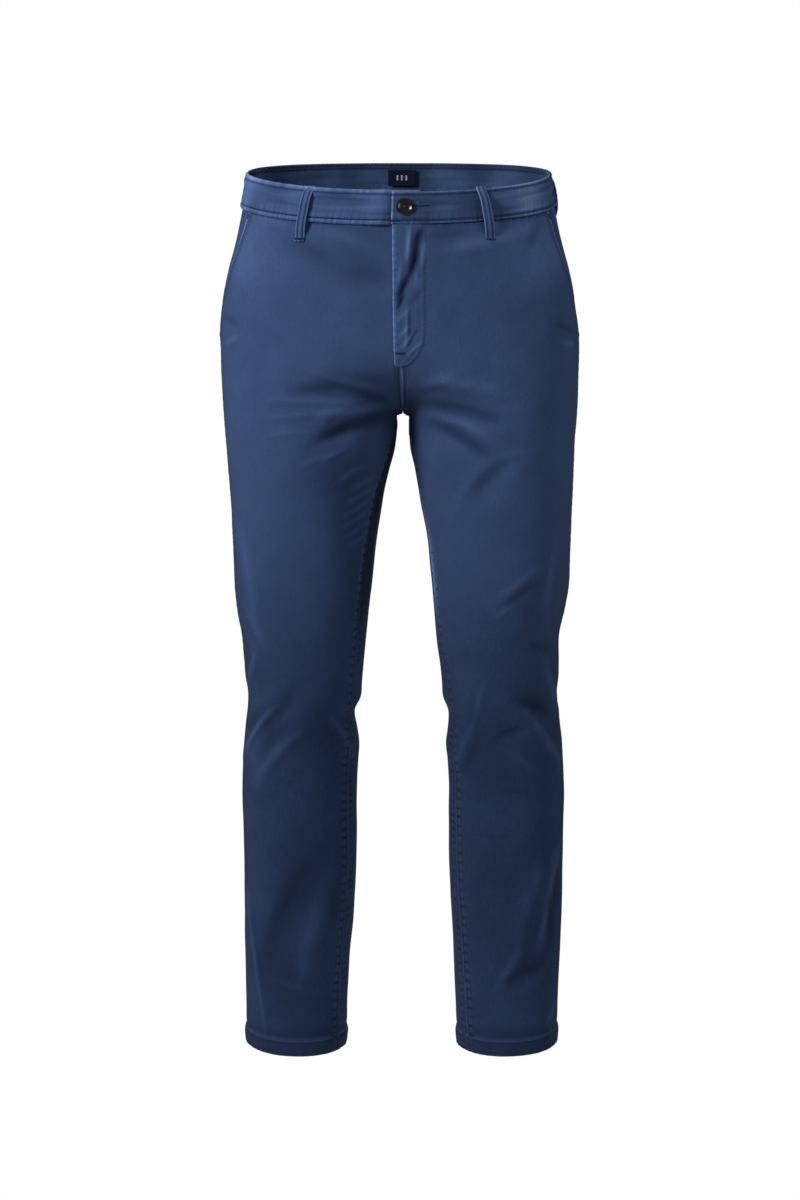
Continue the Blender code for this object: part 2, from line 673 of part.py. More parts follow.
def spread(start, end, count):
    return [start + (end - start) * k / count for k in range(count + 1)]


def waistband(material):
    """Three pieces: the button side runs under the buttonhole side at the centre front."""
    clear = 0.12
    overlap, underlap = station_of(OVERLAP_X), station_of(UNDERLAP_X)
    step_start, step_end = (station_of(OVERLAP_X - ahead) for ahead in UNDERLAP_STEP_AHEAD)

    def sunk(station):
        return UNDERLAP_STEP * ease((station - step_start) / (step_end - step_start))

    left = [overlap] + spread(station_of(3.0), 90 - clear, 16)
    right = spread(-90 + clear, step_start, 14)[:-1]
    right += spread(step_start, step_end, 3) + [0.0, underlap]
    back = spread(90 + clear, 270 - clear, 30)
    skin_sets = {
        "waistband_front_left": band_skins(left),
        "waistband_front_right": band_skins(right, sunk),
        "waistband_back": band_skins(back),
    }
    return {name: wall(name, *skin_pair, material) for name, skin_pair in skin_sets.items()}


def belt_loop(loop, tree, material):
    """A strap tacked to the band's top edge and to the panel, bowed out between for the belt."""
    rows = len(LOOP_PATH) - 1
    angle = math.radians(loop.angle)
    _, mid_normal = cloth(loop.side, angle, band_top(angle) - BAND_HEIGHT / 2)
    across = Vector((0, 0, 1)).cross(mid_normal).normalized()

    def base(drop, shift):
        point, _ = cloth(loop.side, angle, band_top(angle) - drop)
        return laid(tree, point + across * shift, mid_normal, 0.0)[0]

    ends = (0, 1, rows - 1, rows)
    first, last = base(LOOP_PATH[1].drop, 0.0), base(LOOP_PATH[-2].drop, 0.0)

    def surface(row, column):
        shift = LOOP_WIDTH * (column / LOOP_COLUMNS - 0.5)
        drop, out = LOOP_PATH[row].drop, LOOP_PATH[row].out * loop.bow
        if row in ends:
            foot = base(drop, shift)
        else:
            share = (drop - LOOP_PATH[1].drop) / (LOOP_PATH[-2].drop - LOOP_PATH[1].drop)
            foot = first.lerp(last, share) + across * shift
        return foot + mid_normal * (out + SEAM_GAP + LOOP_CLOTH), mid_normal

    grid = [[surface(i, j)[0] for j in range(LOOP_COLUMNS + 1)] for i in range(rows + 1)]
    inner = []
    for i, row in enumerate(grid):
        before, after = grid[max(i - 1, 0)], grid[min(i + 1, rows)]
        along = (after[1] - before[1]).normalized()
        way_in = along.cross(across) if i not in ends else mid_normal
        way_in = way_in if way_in.dot(mid_normal) > 0 else -way_in
        inner.append([p - way_in * LOOP_CLOTH for p in row])
    return wall(loop.name, grid, inner, material)


# ---- Button and label ----------------------------------------------------------------------


def waist_button(tree, material):
    """A turned four-hole button, seated on the band over the end of its hole."""
    z = band_top(math.radians(-90)) - BUTTON_DROP
    point, normal = cloth(LEFT, angle_at(BUTTON_X, FRONT, z), z)
    seat, _ = laid(tree, point, normal, SEAM_GAP + 0.1)
    shape = bmesh.new()
    ring = [shape.verts.new((p.radius, 0, p.height)) for p in BUTTON_PROFILE]
    edges = [shape.edges.new(pair) for pair in zip(ring, ring[1:])]
    bmesh.ops.spin(
        shape, geom=ring + edges, cent=(0, 0, 0), axis=(0, 0, 1), dvec=(0, 0, 0),
        angle=2 * math.pi, steps=BUTTON_SIDES, use_merge=True,
    )
    bmesh.ops.remove_doubles(shape, verts=shape.verts, dist=1e-3)
    tilt = normal.to_track_quat("Z", "X").to_matrix()
    bmesh.ops.rotate(shape, verts=shape.verts, cent=(0, 0, 0), matrix=tilt)
    bmesh.ops.translate(shape, verts=shape.verts, vec=seat)
    button = finished("waist_button", shape, material)
    drills = bmesh.new()
    for quarter in range(4):
        angle = math.radians(45 + 90 * quarter)
        made = bmesh.ops.create_cone(
            drills, segments=10, radius1=BUTTON_HOLE_RADIUS, radius2=BUTTON_HOLE_RADIUS,
            depth=12.0, cap_ends=True,
        )["verts"]
        away = Vector((math.cos(angle), math.sin(angle), 0)) * BUTTON_HOLE_SPREAD
        bmesh.ops.translate(drills, verts=made, vec=away)
    bmesh.ops.rotate(drills, verts=drills.verts, cent=(0, 0, 0), matrix=tilt)
    bmesh.ops.translate(drills, verts=drills.verts, vec=seat)
    cutter = finished("button_hole_cutter", drills, material)
    cutter.hide_render = True
    cutter.display_type = "WIRE"
    cut = button.modifiers.new("thread holes", "BOOLEAN")
    cut.operation, cut.object = "DIFFERENCE", cutter
    return button


def woven_label(tree, material):
    """The label inside the back of the band, with a seam's clearance to it."""

    def surface(row, column):
        x = LABEL_X + LABEL_WIDTH * (column / LABEL_COLUMNS - 0.5)
        z = LABEL_TOP - LABEL_HEIGHT * row / LABEL_ROWS
        side = LEFT if x >= 0 else RIGHT
        point, normal = cloth(side, angle_at(abs(x), BACK, z), z, BAND_PROUD - BAND_CLOTH)
        return laid(tree, point, -normal, SEAM_GAP + LABEL_CLOTH, LAID_REACH)

    outer, inner = skins(surface, LABEL_ROWS, LABEL_COLUMNS, lambda row: LABEL_CLOTH)
    return wall("woven_label", outer, inner, material)


# ---- The garment ---------------------------------------------------------------------------


def finish(name, colour, roughness, metallic=0.0):
    material = bpy.data.materials.new(name)
    material.use_nodes = True
    shader = material.node_tree.nodes["Principled BSDF"]
    shader.inputs["Base Color"].default_value = (*colour, 1.0)
    shader.inputs["Roughness"].default_value = roughness
    shader.inputs["Metallic"].default_value = metallic
    return material


def build():
    for thing in list(bpy.data.objects):
        bpy.data.objects.remove(thing)
    twill = finish("blue cotton twill", (0.045, 0.075, 0.165), 0.85)
    horn = finish("dark horn resin", (0.016, 0.013, 0.014), 0.35)
    woven = finish("dark label weave", (0.010, 0.013, 0.028), 0.7)

    panels = {}
    for side_name, side in (("left", LEFT), ("right", RIGHT)):
        for face_name, face in (("front", FRONT), ("back", BACK)):
            skin_pair = panel_skins(side, face)
            panels[side, face] = wall(f"{face_name}_{side_name}", *skin_pair, twill)
        pocket_facing(f"pocket_facing_{side_name}", side, twill)
        back_welt(f"back_welt_{side_name}", side, surface_tree([panels[side, BACK]]), twill)
    fly_placket(surface_tree([panels[LEFT, FRONT], panels[RIGHT, FRONT]]), twill)

    bands = waistband(twill)
    outside = surface_tree([*panels.values(), *bands.values()])
    for loop in LOOPS:
        belt_loop(loop, outside, twill)
    waist_button(outside, horn)
    woven_label(surface_tree([bands["waistband_back"]]), woven)


build()
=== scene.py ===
# %% [markdown]
# # Slim chino trousers, built as cloth
# Trousers are flat pieces of woven cloth that only get their shape from the seams that join
# them and from the body inside. The frame already holds every cut piece as a plain closed
# solid, so this lesson keeps those shapes and turns each one into thin cloth: finer, creased,
# puckered along its seams, stitched, and worn where real trousers rub.

# %% The frame
import json
import math
from collections import namedtuple

import bmesh
import bpy
import numpy as np
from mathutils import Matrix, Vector

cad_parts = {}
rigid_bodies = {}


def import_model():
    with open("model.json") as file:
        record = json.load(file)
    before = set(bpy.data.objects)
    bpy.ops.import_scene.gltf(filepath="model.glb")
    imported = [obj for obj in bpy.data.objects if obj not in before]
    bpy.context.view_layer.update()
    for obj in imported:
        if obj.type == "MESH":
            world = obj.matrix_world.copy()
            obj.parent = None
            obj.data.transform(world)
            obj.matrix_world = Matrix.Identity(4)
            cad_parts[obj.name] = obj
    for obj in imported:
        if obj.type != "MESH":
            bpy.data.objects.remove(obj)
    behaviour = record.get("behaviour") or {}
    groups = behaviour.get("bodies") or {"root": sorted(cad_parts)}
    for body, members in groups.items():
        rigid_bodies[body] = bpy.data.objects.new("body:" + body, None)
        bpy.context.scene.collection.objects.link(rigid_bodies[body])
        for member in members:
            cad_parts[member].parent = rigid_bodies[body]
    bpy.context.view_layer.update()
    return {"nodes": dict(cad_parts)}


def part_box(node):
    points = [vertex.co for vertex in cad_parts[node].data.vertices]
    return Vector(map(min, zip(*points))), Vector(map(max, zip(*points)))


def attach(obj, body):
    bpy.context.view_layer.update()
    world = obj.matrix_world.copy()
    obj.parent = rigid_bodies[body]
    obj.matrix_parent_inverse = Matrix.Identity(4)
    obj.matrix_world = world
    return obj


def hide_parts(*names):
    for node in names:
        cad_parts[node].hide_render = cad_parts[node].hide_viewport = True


for thing in list(bpy.data.objects):
    bpy.data.objects.remove(thing)
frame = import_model()
NODES = frame["nodes"]
MM = 0.001

# %% [markdown]
# Every cloth solid is a wall: a grid of points outside, the same grid inside, and a rim
# between. A flood over the soft edges finds the outside skin, because only the rim turns
# sharply. Its rows and columns are then walked point by point, so that seams, stitches and
# the weave can all be measured along them, round the leg and down it.

# %% The skin of a wall
RIM_TURN = math.radians(60)
CROTCH_Z = -291.0
HIP_MIDDLE, LEG_MIDDLE = 45.0, 125.0
SPLIT_FROM, SPLIT_TO = 200.0, 320.0     # how far down the axis moves out, from the hips to the legs
CENTRE_HALF = 4.0                       # points this near to the middle keep to the middle's axis


def axis_beside(point):
    """The point on the body's or the leg's own axis level with this one, in metres."""
    down = min(max((-point.z / MM - SPLIT_FROM) / (SPLIT_TO - SPLIT_FROM), 0.0), 1.0)
    middle = (HIP_MIDDLE + (LEG_MIDDLE - HIP_MIDDLE) * down) * MM
    beside = abs(point.x) > CENTRE_HALF * MM
    return Vector((math.copysign(middle if beside else 0.0, point.x), 0, point.z))


def skin_faces(shape, inward):
    """The faces of the skin that faces away from the body, or towards it."""
    waiting, best, best_area = set(shape.faces), None, 0.0
    while waiting:
        island, queue = [], [waiting.pop()]
        while queue:
            face = queue.pop()
            island.append(face)
            for edge in face.edges:
                if edge.calc_face_angle(math.pi) < RIM_TURN:
                    for other in edge.link_faces:
                        if other in waiting:
                            waiting.discard(other)
                            queue.append(other)
        area = 0.0
        for face in island:
            middle = face.calc_center_median()
            area += face.calc_area() * face.normal.dot((middle - axis_beside(middle)).normalized())
        if (-area if inward else area) > best_area:
            best, best_area = island, abs(area)
    return best


def rim_loop(faces):
    """The points round the edge of a skin, in order."""
    inside, links = set(faces), {}
    for face in faces:
        for edge in face.edges:
            if sum(other in inside for other in edge.link_faces) == 1:
                a, b = edge.verts
                links.setdefault(a, []).append(b)
                links.setdefault(b, []).append(a)
    loop = [min(links, key=lambda v: v.co[:])]
    before = None
    while True:
        ahead = [v for v in links[loop[-1]] if v is not before]
        before = loop[-1]
        if ahead[0] is loop[0]:
            return loop
        loop.append(ahead[0])


# %% Its rows and columns
# the leg panels, with their number of columns
LEG_NODES = {"front_left": 14, "front_right": 14, "back_left": 13, "back_right": 13}
BAND_ROWS, STRAP_COLUMNS = 3, 2     # squares down the waistband, and across a strap
FOOT_ROWS = 5       # the lowest rows, which tell the edge where the columns start


def walked(faces, loop, start, columns, rows):
    """The points of a skin row by row, from the top edge in the loop."""
    near, size = {}, len(loop)
    for face in faces:
        for a in face.verts:
            near.setdefault(a, set()).update(face.verts)
    grid = [[loop[(start + j) % size] for j in range(columns + 1)]]
    used = set(grid[0])
    for i in range(1, rows + 1):
        row = [loop[(start - i) % size]]
        for j in range(1, columns + 1):
            row.append(((near[grid[-1][j]] & near[row[-1]]) - used - set(row)).pop())
        used.update(row)
        grid.append(row)
    return np.array([[v.co[:] for v in row] for row in grid])


def strap(loop, start, columns, rows):
    """The same for a strap, whose inner columns lie half way between its edges."""
    size = len(loop)
    left = np.array([loop[(start - i) % size].co[:] for i in range(rows + 1)])
    right = np.array([loop[(start + columns + i) % size].co[:] for i in range(rows + 1)])
    return np.stack([left + (right - left) * j / columns for j in range(columns + 1)], axis=1)


def grid_of(node, columns, inward=False):
    """The points of a node's skin in millimetres, [row, column], top row first."""
    shape = bmesh.new()
    shape.from_mesh(NODES[node].data)
    bmesh.ops.remove_doubles(shape, verts=shape.verts, dist=1e-5)
    faces = skin_faces(shape, inward)
    loop = rim_loop(faces)
    size = len(loop)
    columns = columns or size // 2 - BAND_ROWS
    rows = size // 2 - columns
    steps = [loop[k].co - loop[k - 1].co for k in range(size)]
    turns = [step.angle(steps[(k + 1) % size]) for k, step in enumerate(steps)]
    corners = (0, columns, columns + rows, 2 * columns + rows)
    start = max(range(size), key=lambda s: sum(turns[(s + c) % size] for c in corners))
    walk = (loop, start, columns, rows)
    points = (strap(*walk) if columns == STRAP_COLUMNS else walked(faces, *walk)) / MM
    shape.free()
    if points[0, :, 2].mean() < points[-1, :, 2].mean():
        points = points[::-1]
    first, last = (points[-FOOT_ROWS:, edge, 0].mean() for edge in (0, -1))
    if node in LEG_NODES:       # both legs start at the inseam
        first, last = abs(first), abs(last)
    return points if first < last else points[:, ::-1]


print({node: grid_of(node, columns).shape for node, columns in LEG_NODES.items()})

# %% [markdown]
# A smooth curve through every row and column gives as many points as the creases need,
# closer together at the edges, where cloth is folded over and sewn. Each point comes with
# its distances along the cloth to all four edges.

# %% A finer grid
EDGE_RINGS = (0.0, 0.5, 1.2, 2.2)
EDGE_STEADY = 6.0       # how far from an edge the lift turns into the seam's plane


def ease(t):
    t = np.clip(t, 0, 1)
    return t * t * (3 - 2 * t)


def curve(values, knots, at):
    """A smooth curve through the first axis of values, read at other places."""
    slopes = np.gradient(values, knots, axis=0)
    i = np.clip(np.searchsorted(knots, at, side="right") - 1, 0, len(knots) - 2)
    span = np.diff(knots)[i]
    t, span = ((at - knots[i]) / span)[:, None, None], span[:, None, None]
    before = values[i] * (1 + 2 * t) + slopes[i] * span * t
    after = values[i + 1] * (3 - 2 * t) - slopes[i + 1] * span * (1 - t)
    return before * (1 - t) ** 2 + after * t**2


def along(points):
    """Distance along the first axis from its start."""
    steps = np.linalg.norm(np.diff(points, axis=0), axis=2)
    return np.concatenate([np.zeros((1, points.shape[1])), np.cumsum(steps, axis=0)])


def finer(points, step):
    """The same sheet with more points, about a step apart, and closer at its edges."""
    ends = np.array(EDGE_RINGS[:-1])
    for _ in range(2):
        knots = along(points).mean(axis=1)
        first, last = EDGE_RINGS[-1], knots[-1] - EDGE_RINGS[-1]
        middle = np.linspace(first, last, max(2, round((last - first) / step) + 1))
        places = np.concatenate([ends, middle, knots[-1] - ends[::-1]])
        points = curve(points, knots, places).swapaxes(0, 1)
    return points


def unit(vectors):
    return vectors / np.maximum(np.linalg.norm(vectors, axis=-1, keepdims=True), 1e-9)


def normals_of(points, inward=False):
    """The direction out of the cloth at each point."""
    normals = unit(np.cross(*np.gradient(points, axis=(0, 1))))
    i, j = points.shape[0] // 2, points.shape[1] // 2
    middle = Vector(points[i, j] * MM)
    flip = Vector(normals[i, j]).dot(middle - axis_beside(middle)) < 0
    return -normals if flip != inward else normals


SIDES = ("start", "end")
EDGES = (*SIDES, "top", "bottom")


def from_edge(table, edge):
    """A view of a table of points whose first row is one edge of the cloth."""
    turned = table.swapaxes(0, 1) if edge in SIDES else table
    return turned[::-1] if edge in ("end", "bottom") else turned


class Cloth:
    """One piece of cloth as a grid, with its distances to its edges in millimetres."""

    def __init__(self, node, columns, step, inward=False):
        self.name, self.node = "cloth_" + node, node
        self.step = step * 1
        self.points = finer(grid_of(node, columns, inward), self.step)
        self.faces_in = inward
        self.normals = normals_of(self.points, inward)
        self.top = along(self.points)
        self.bottom = self.top[-1] - self.top
        self.start = along(self.points.swapaxes(0, 1)).T
        self.end = self.start[:, -1:] - self.start
        self.flat = (self.start[:, -1].max(), self.top[-1].max())
        self.area = min(self.start[:, -1].mean() * self.top[-1].mean(), self.flat[0] * self.flat[1])
        self.lips, self.tuck = {}, ()
        self.across = {edge: self.across_seam(edge) for edge in EDGES}

    def across_seam(self, edge):
        """The way from an edge over to the piece that is sewn to it."""
        points = from_edge(self.points, edge)
        away = unit(points[0] - points[len(EDGE_RINGS) - 1])
        if self.node in LEG_NODES and edge == "start":      # the centre seam is upright and straight
            centre = ease((points[0][:, 2:] - CROTCH_Z) / 6 + 0.5)
            middle = np.array([-1.0 if self.node.endswith("left") else 1.0, 0, 0])
            away = unit(away * (1 - centre) + middle * centre)
        return away

    def moved(self):
        """Lifts the points. Beside a seam they keep to the seam's own plane."""
        way = self.normals.copy()
        for edge in EDGES:
            strips = from_edge(way, edge)
            count = max(1, min(round(EDGE_STEADY / self.step) + 2, len(strips) // 3))
            steady, across = strips[count].copy(), self.across[edge]
            level = steady
            if edge in self.lips:
                level = unit(steady - across * np.sum(steady * across, axis=1, keepdims=True))
            share = (np.arange(count) / count)[:, None, None]
            strips[:count] = unit(steady * share + level * (1 - share))
        self.points = self.points + way * self.lift[..., None]
        self.normals = normals_of(self.points, self.faces_in)
        self.inward = -way


trial = Cloth("front_left", LEG_NODES["front_left"], 2.4)
print("front panel", trial.points.shape, "cut about", [round(v) for v in trial.flat], "mm")

# %% [markdown]
# Creases are soft folds that run over the cloth like ripples. Each is one row of a table:
# where it starts and ends on the front or the back of the trousers, how far its middle bows
# up, how high it rises, how wide it is and, where that differs, how wide below its line. A
# trough has a negative rise. A simulation could find such folds, but a table puts each one
# where it belongs.

# %% Creases of the front
Crease = namedtuple("Crease", "x z to_x to_z bend rise width lower", defaults=(None,))
FRONT_CREASES = [Crease(*row) for row in (
    # from the crotch over the right thigh
    (-128, -262, -12, -277, 8, -5.2, 8, 7),
    (-104, -326, -8, -290, 7, -4.6, 6.5, 10),
    (-99, -290, -12, -281, 2, 2.0, 6.1),
    (-164, -270, -94, -273, 0, 0.7, 2.2),
    (-159, -280, -89, -281, 1, -0.7, 2.2),
    (-166, -292, -94, -287, 0, 0.8, 2.4),
    (-159, -302, -99, -296, 1, -0.6, 2.2),
    (-171, -318, -104, -309, 2, 0.8, 2.7),
    # beside the right inseam
    (-60, -384, -28, -365, 2, 2.2, 2.4),
    (-65, -401, -31, -379, 2, 2.5, 2.7),
    (-68, -416, -35, -394, 2, 2.4, 2.4),
    (-70, -429, -38, -408, 1, 2.0, 2.4),
    (-65, -440, -38, -420, 1, 2.0, 2.2),
    (-62, -452, -40, -435, 1, 1.7, 2.2),
    (-72, -372, -41, -351, 2, 1.7, 2.4),
    (-94, -348, -63, -331, 2, 1.4, 2.4),
    (-121, -353, -80, -338, 2, 1.2, 2.9),
    (-106, -333, -75, -321, 1, 1.0, 2.4),
    # from the crotch over the left thigh
    (16, -277, 128, -297, 2, -4.4, 8.5, 7),
    (28, -292, 116, -322, 8, 1.2, 6.1),
    (32, -300, 114, -343, 4, -4.0, 7),
    (32, -249, 133, -264, 2, 1.2, 8.5),
    (48, -312, 84, -334, 2, 0.9, 6.1),
    (67, -414, 99, -353, 7, 0.7, 4.5, 5.5),
    (99, -353, 159, -336, 6, 0.6, 5.5),
    (90, -391, 138, -345, 7, -1.0, 6.5),
    (117, -515, 171, -473, -2, 1.7, 6.1),
    (112, -539, 136, -524, 0, 1.1, 4.3),
    (122, -527, 166, -494, 0, -1.2, 4.9),
    (177, -556, 190, -445, 2, 1.8, 4.3),
    (177, -586, 195, -665, 0, 2.6, 3.2, 4.9),
    # at the hips
    (-215, -174, -196, -182, 0, -2.2, 4.3),
    (-212, -207, -196, -196, 0, 1.6, 3.2),
    (186, -180, 214, -194, 2, -2.4, 3.9),
    (192, -201, 215, -208, 0, 1.4, 3.6),
    # below the waistband
    (-136, -84, -66, -119, 4, -1.9, 9.7, 10.9),
    (-66, -119, -10, -129, 1, -1.6, 10.9),
    (-98, -67, -10, -101, 2, 1.5, 8.5),
    (-181, -51, -127, -62, 0, 1.2, 4.9, 6.1),
    (32, -94, 170, -63, -4, 1.6, 8.5),
    (29, -78, 89, -69, -1, -1.4, 5.5),
    (155, -91, 169, -58, 0, -1.6, 6.1),
    # in the fly
    (20, -92, 27, -66, 1, -4.0, 4.6),
    (13, -122, 20, -88, -1, -5.4, 4.2, 4.4),
    (-2, -153, 13, -120, 1, -4.0, 4.0),
    (9, -106, 12, -64, 0, 2.6, 3.2),
    (27, -112, 31, -78, 0, 1.4, 3.2),
    (-2, -133, 2, -106, 0, 1.2, 3.0),
    (22, -139, 17, -106, 0, 0.9, 3.4),
    (-2, -163, 5, -144, 0, -3.0, 2.6),
    (9, -158, 7, -212, 0, 1.4, 2.2),
    (13, -164, 12, -192, 0, -1.0, 2.4),
    (10, -205, 22, -187, 0, -2.2, 2.2),
    (-2, -197, 12, -183, 0, 1.3, 2.4),
    (1, -210, 20, -191, 0, 1.4, 2.4),
    (8, -218, 29, -200, 0, 1.2, 2.4),
    (-4, -178, 11, -162, 0, 1, 2.7),
    (11, -159, 29, -137, 0, -0.9, 3.6),
    # down the right leg, from the knee
    (-195, -724, -150, -646, 7, 2.8, 2.6, 3.8),
    (-190, -692, -164, -646, 3, -2.0, 5, 6.5),
    (-178, -722, -128, -664, 5, -1.6, 6, 7),
    (-178, -748, -118, -676, 6, 1.8, 4.5, 6.5),
    (-186, -621, -176, -579, 0, 2.2, 2.9),
    (-188, -528, -163, -576, 0, 1.4, 4.1),
    (-194, -429, -171, -563, 0, 1.6, 6.1),
    (-86, -660, -58, -720, 4, 1.7, 3.2, 3.6),
    (-166, -976, -111, -840, 6, -2.2, 10.9),
    (-124, -1004, -87, -845, 4, 0.8, 9.7),
    (-163, -991, -120, -1005, -1, 1.1, 3.2, 3.6),
    (-189, -889, -167, -1062, -1, 2.2, 2.2, 2.6),
    # down the left leg, from the knee
    (151, -650, 199, -732, 5, 2.2, 3.2, 4.1),
    (146, -643, 186, -660, 2, -2.6, 7.3, 6.1),
    (159, -570, 176, -578, 0, -1.5, 4.9),
    (94, -663, 103, -618, 1, 1.6, 4.1),
    (69, -725, 94, -663, 1, 1.3, 4.1, 4.9),
    (77, -735, 106, -680, 0, -1.3, 6.1),
    (118, -688, 152, -676, 2, -1.5, 3.6, 4.9),
    (122, -700, 177, -741, 4, 1, 4.9),
    (125, -753, 161, -756, 0, -0.8, 2.7),
    (110, -815, 138, -811, 0, -0.7, 2.7),
    (182, -893, 195, -826, 0, 2.6, 2.9, 3.6),
    (172, -956, 182, -893, 0, 2.4, 3.2, 3.6),
    (181, -971, 197, -853, 0, -2.4, 5.5, 6.5),
    (129, -999, 181, -969, -4, -2.2, 8),
    (120, -1008, 154, -951, 0, 1.6, 6.1),
    (183, -1058, 194, -1022, 0, 1.8, 2.7),
)]

# %% Creases of the back
BACK_CREASES = [Crease(*row) for row in (
    # under the seat
    (-158, -322, -44, -296, -7, -2.6, 5, 8),
    (-150, -352, -40, -322, -5, -2.0, 5, 7),
    (-140, -300, -50, -280, -4, 1.4, 6),
    (-128, -386, -48, -352, -3, -1.4, 3, 4),
    (44, -298, 160, -324, -8, -2.7, 5, 8),
    (40, -326, 152, -358, -5, -2.0, 5, 7),
    (52, -282, 140, -304, -4, 1.4, 6),
    (46, -356, 124, -392, -3, -1.3, 3, 4),
    # pulls from the seat seam and the pockets
    (-96, -244, -14, -214, 3, 1.0, 4),
    (12, -226, 92, -252, 3, 1.0, 4),
    (-168, -196, -120, -168, 0, 1.2, 5),
    (120, -172, 170, -200, 0, 1.2, 5),
    (-150, -72, -90, -82, 2, 1.2, 7),
    (88, -80, 150, -74, 2, 1.2, 7),
    # behind the knees
    (-170, -640, -86, -662, -6, -3.0, 3.4, 5),
    (-164, -668, -96, -644, 4, 2.2, 3.0, 4),
    (-172, -692, -90, -682, -5, -2.4, 3.4, 5),
    (-150, -716, -92, -708, -3, 1.6, 3.0, 3.6),
    (-160, -610, -100, -628, -2, 1.5, 4),
    (-166, -734, -108, -742, 3, -1.4, 3.6, 4.2),
    (88, -656, 168, -640, -6, -3.0, 3.4, 5),
    (96, -644, 172, -670, 4, 2.2, 3.0, 4),
    (92, -686, 176, -696, -5, -2.4, 3.4, 5),
    (96, -712, 152, -718, -3, 1.6, 3.0, 3.6),
    (98, -626, 156, -606, -2, 1.5, 4),
    (104, -744, 162, -730, 3, -1.3, 3.6, 4.2),
    # above the hems
    (-172, -962, -98, -1002, 4, -2.4, 5, 6),
    (-164, -928, -92, -976, 3, 1.6, 6),
    (-160, -1010, -110, -1022, 2, 1.2, 3, 3.6),
    (94, -1000, 170, -948, 4, -2.4, 5, 6),
    (92, -972, 168, -916, 3, 1.6, 6),
    (108, -1024, 164, -1006, 2, 1.2, 3, 3.6),
)]


def relief(points, creases):
    """How far the creases of one side lift each point."""
    x, z = points[..., 0], points[..., 2]
    lift = np.zeros(x.shape)
    for c in creases:
        across, down = c.to_x - c.x, c.to_z - c.z
        length = math.hypot(across, down)
        t = np.clip(((x - c.x) * across + (z - c.z) * down) / length**2, 0, 1)
        bow = c.bend * 4 * t * (1 - t) / length
        dx, dz = x - (c.x + across * t - down * bow), z - (c.z + down * t + across * bow)
        above = dz * across - dx * down > 0
        swell = 0.2 + 0.8 * np.sin(math.pi * t) ** 0.8
        lift += c.rise * swell * bump(np.hypot(dx, dz), 0, np.where(above, c.width, c.lower or c.width))
    return lift


print(len(FRONT_CREASES), "creases in front,", len(BACK_CREASES), "behind")

# %% [markdown]
# Between its creases washed cotton has low swells as broad as a hand, and along each seam
# the sewing thread has shrunk and drawn the cloth into small puckers. The swells are a sum of
# slow waves in many directions, and the puckers are short waves along a seam that die out a
# centimetre away. Both are uneven, but the same on each run.

# %% Paler and darker patches of the front, partly painted light and shade
Fade = namedtuple("Fade", "x z wide tall tone")
# patches of painted shade below the crotch and on the inner thighs; paler and darker patches elsewhere are
# partly painted light and partly fading
FRONT_FADES_AND_SHADE = [Fade(*row) for row in (
    (-185, -95, 34, 50, 0.08),      # hip beside the pocket mouth
    (172, -92, 36, 45, 0.16),
    (-45, -90, 45, 45, -0.08),      # under the waistband, beside the fly
    (45, -75, 22, 40, -0.08),
    (-20, -300, 30, 60, -0.08),     # below the crotch
    (20, -330, 16, 60, -0.06),
    (30, -295, 20, 24, -0.09),
    (-100, -360, 42, 36, -0.07),
    (-65, -380, 45, 60, -0.11),     # inner right thigh
    (-50, -480, 22, 90, -0.12),
    (-140, -560, 60, 120, -0.03),
    (70, -360, 40, 45, -0.06),      # inner left thigh
    (100, -560, 70, 80, -0.04),
    (-180, -690, 14, 45, 0.10),     # knees
    (-100, -690, 26, 70, -0.06),
    (110, -715, 36, 60, -0.06),
    (-112, -865, 34, 60, -0.11),    # shins
    (110, -855, 40, 70, -0.04),
    (120, -960, 60, 60, -0.03),
    (-148, -985, 22, 38, -0.11),
    (-110, -1040, 50, 40, -0.05),
)]


def fade_and_shade(points, fades):
    """How much paler or darker each point is painted by a table of patches of painted light, shade and
    fading.
    """
    x, z = points[..., 0], points[..., 2]
    return sum(f.tone * bump(x, f.x, f.wide) * bump(z, f.z, f.tall) for f in fades)


# %% Swells and puckers
WAVES = np.random.default_rng(7)
SWELLS = [
    (WAVES.normal(size=3) * (1, 1, 0.7), WAVES.uniform(26, 84), WAVES.uniform(0, 2 * math.pi))
    for _ in range(26)
]


def swells(points, height):
    """The broad low swells at each point."""
    total = np.zeros(points.shape[:2])
    for way, length, phase in SWELLS:
        way = way / np.linalg.norm(way)
        total += np.sin(points @ way * 2 * math.pi / length + phase) * length / 55
    return height * total / math.sqrt(len(SWELLS))


def uneven(at, pitch, seed):
    """Waves of about this pitch that are never quite the same."""
    turn = 2 * math.pi * at / pitch
    wobble = 2.1 * np.sin(turn / 5.3 + seed) + 1.2 * np.sin(turn / 2.7 + 2.4 * seed)
    size = 0.62 + 0.38 * np.sin(turn / 3.9 + 1.7 * seed) * np.sin(turn / 7.7 + seed)
    return np.sin(turn + wobble) * size


def pucker(away, at, pitch, reach, height, seed):
    """Short waves along a seam that die out this far away from it."""
    return height * uneven(at, pitch, seed) * bump(away, 0, reach)


def bump(away, at, width):
    """1 on a line at this distance from an edge, fading to both sides."""
    return np.exp(-(((away - at) / width) ** 2))


def dashes(along, pitch, seed):
    """Short uneven dashes along a seam, from 0 to 1, where the sewing has pinched the cloth."""
    turn = 2 * math.pi * (along / pitch + 0.10 * uneven(along, 31, seed))
    return np.clip(np.cos(turn), 0, 1) ** 3 * (0.75 + 0.25 * uneven(along, 47, seed + 5))


def folded_edge(away, depth, radius):
    """How far an edge that is turned under curves down."""
    t = np.clip(1 - away / radius, 0, 1)
    return -depth * (1 - np.sqrt(1 - t**2))


print("swells", len(SWELLS), "e.g.", round(float(swells(trial.points, 1.0).std()), 2), "mm")
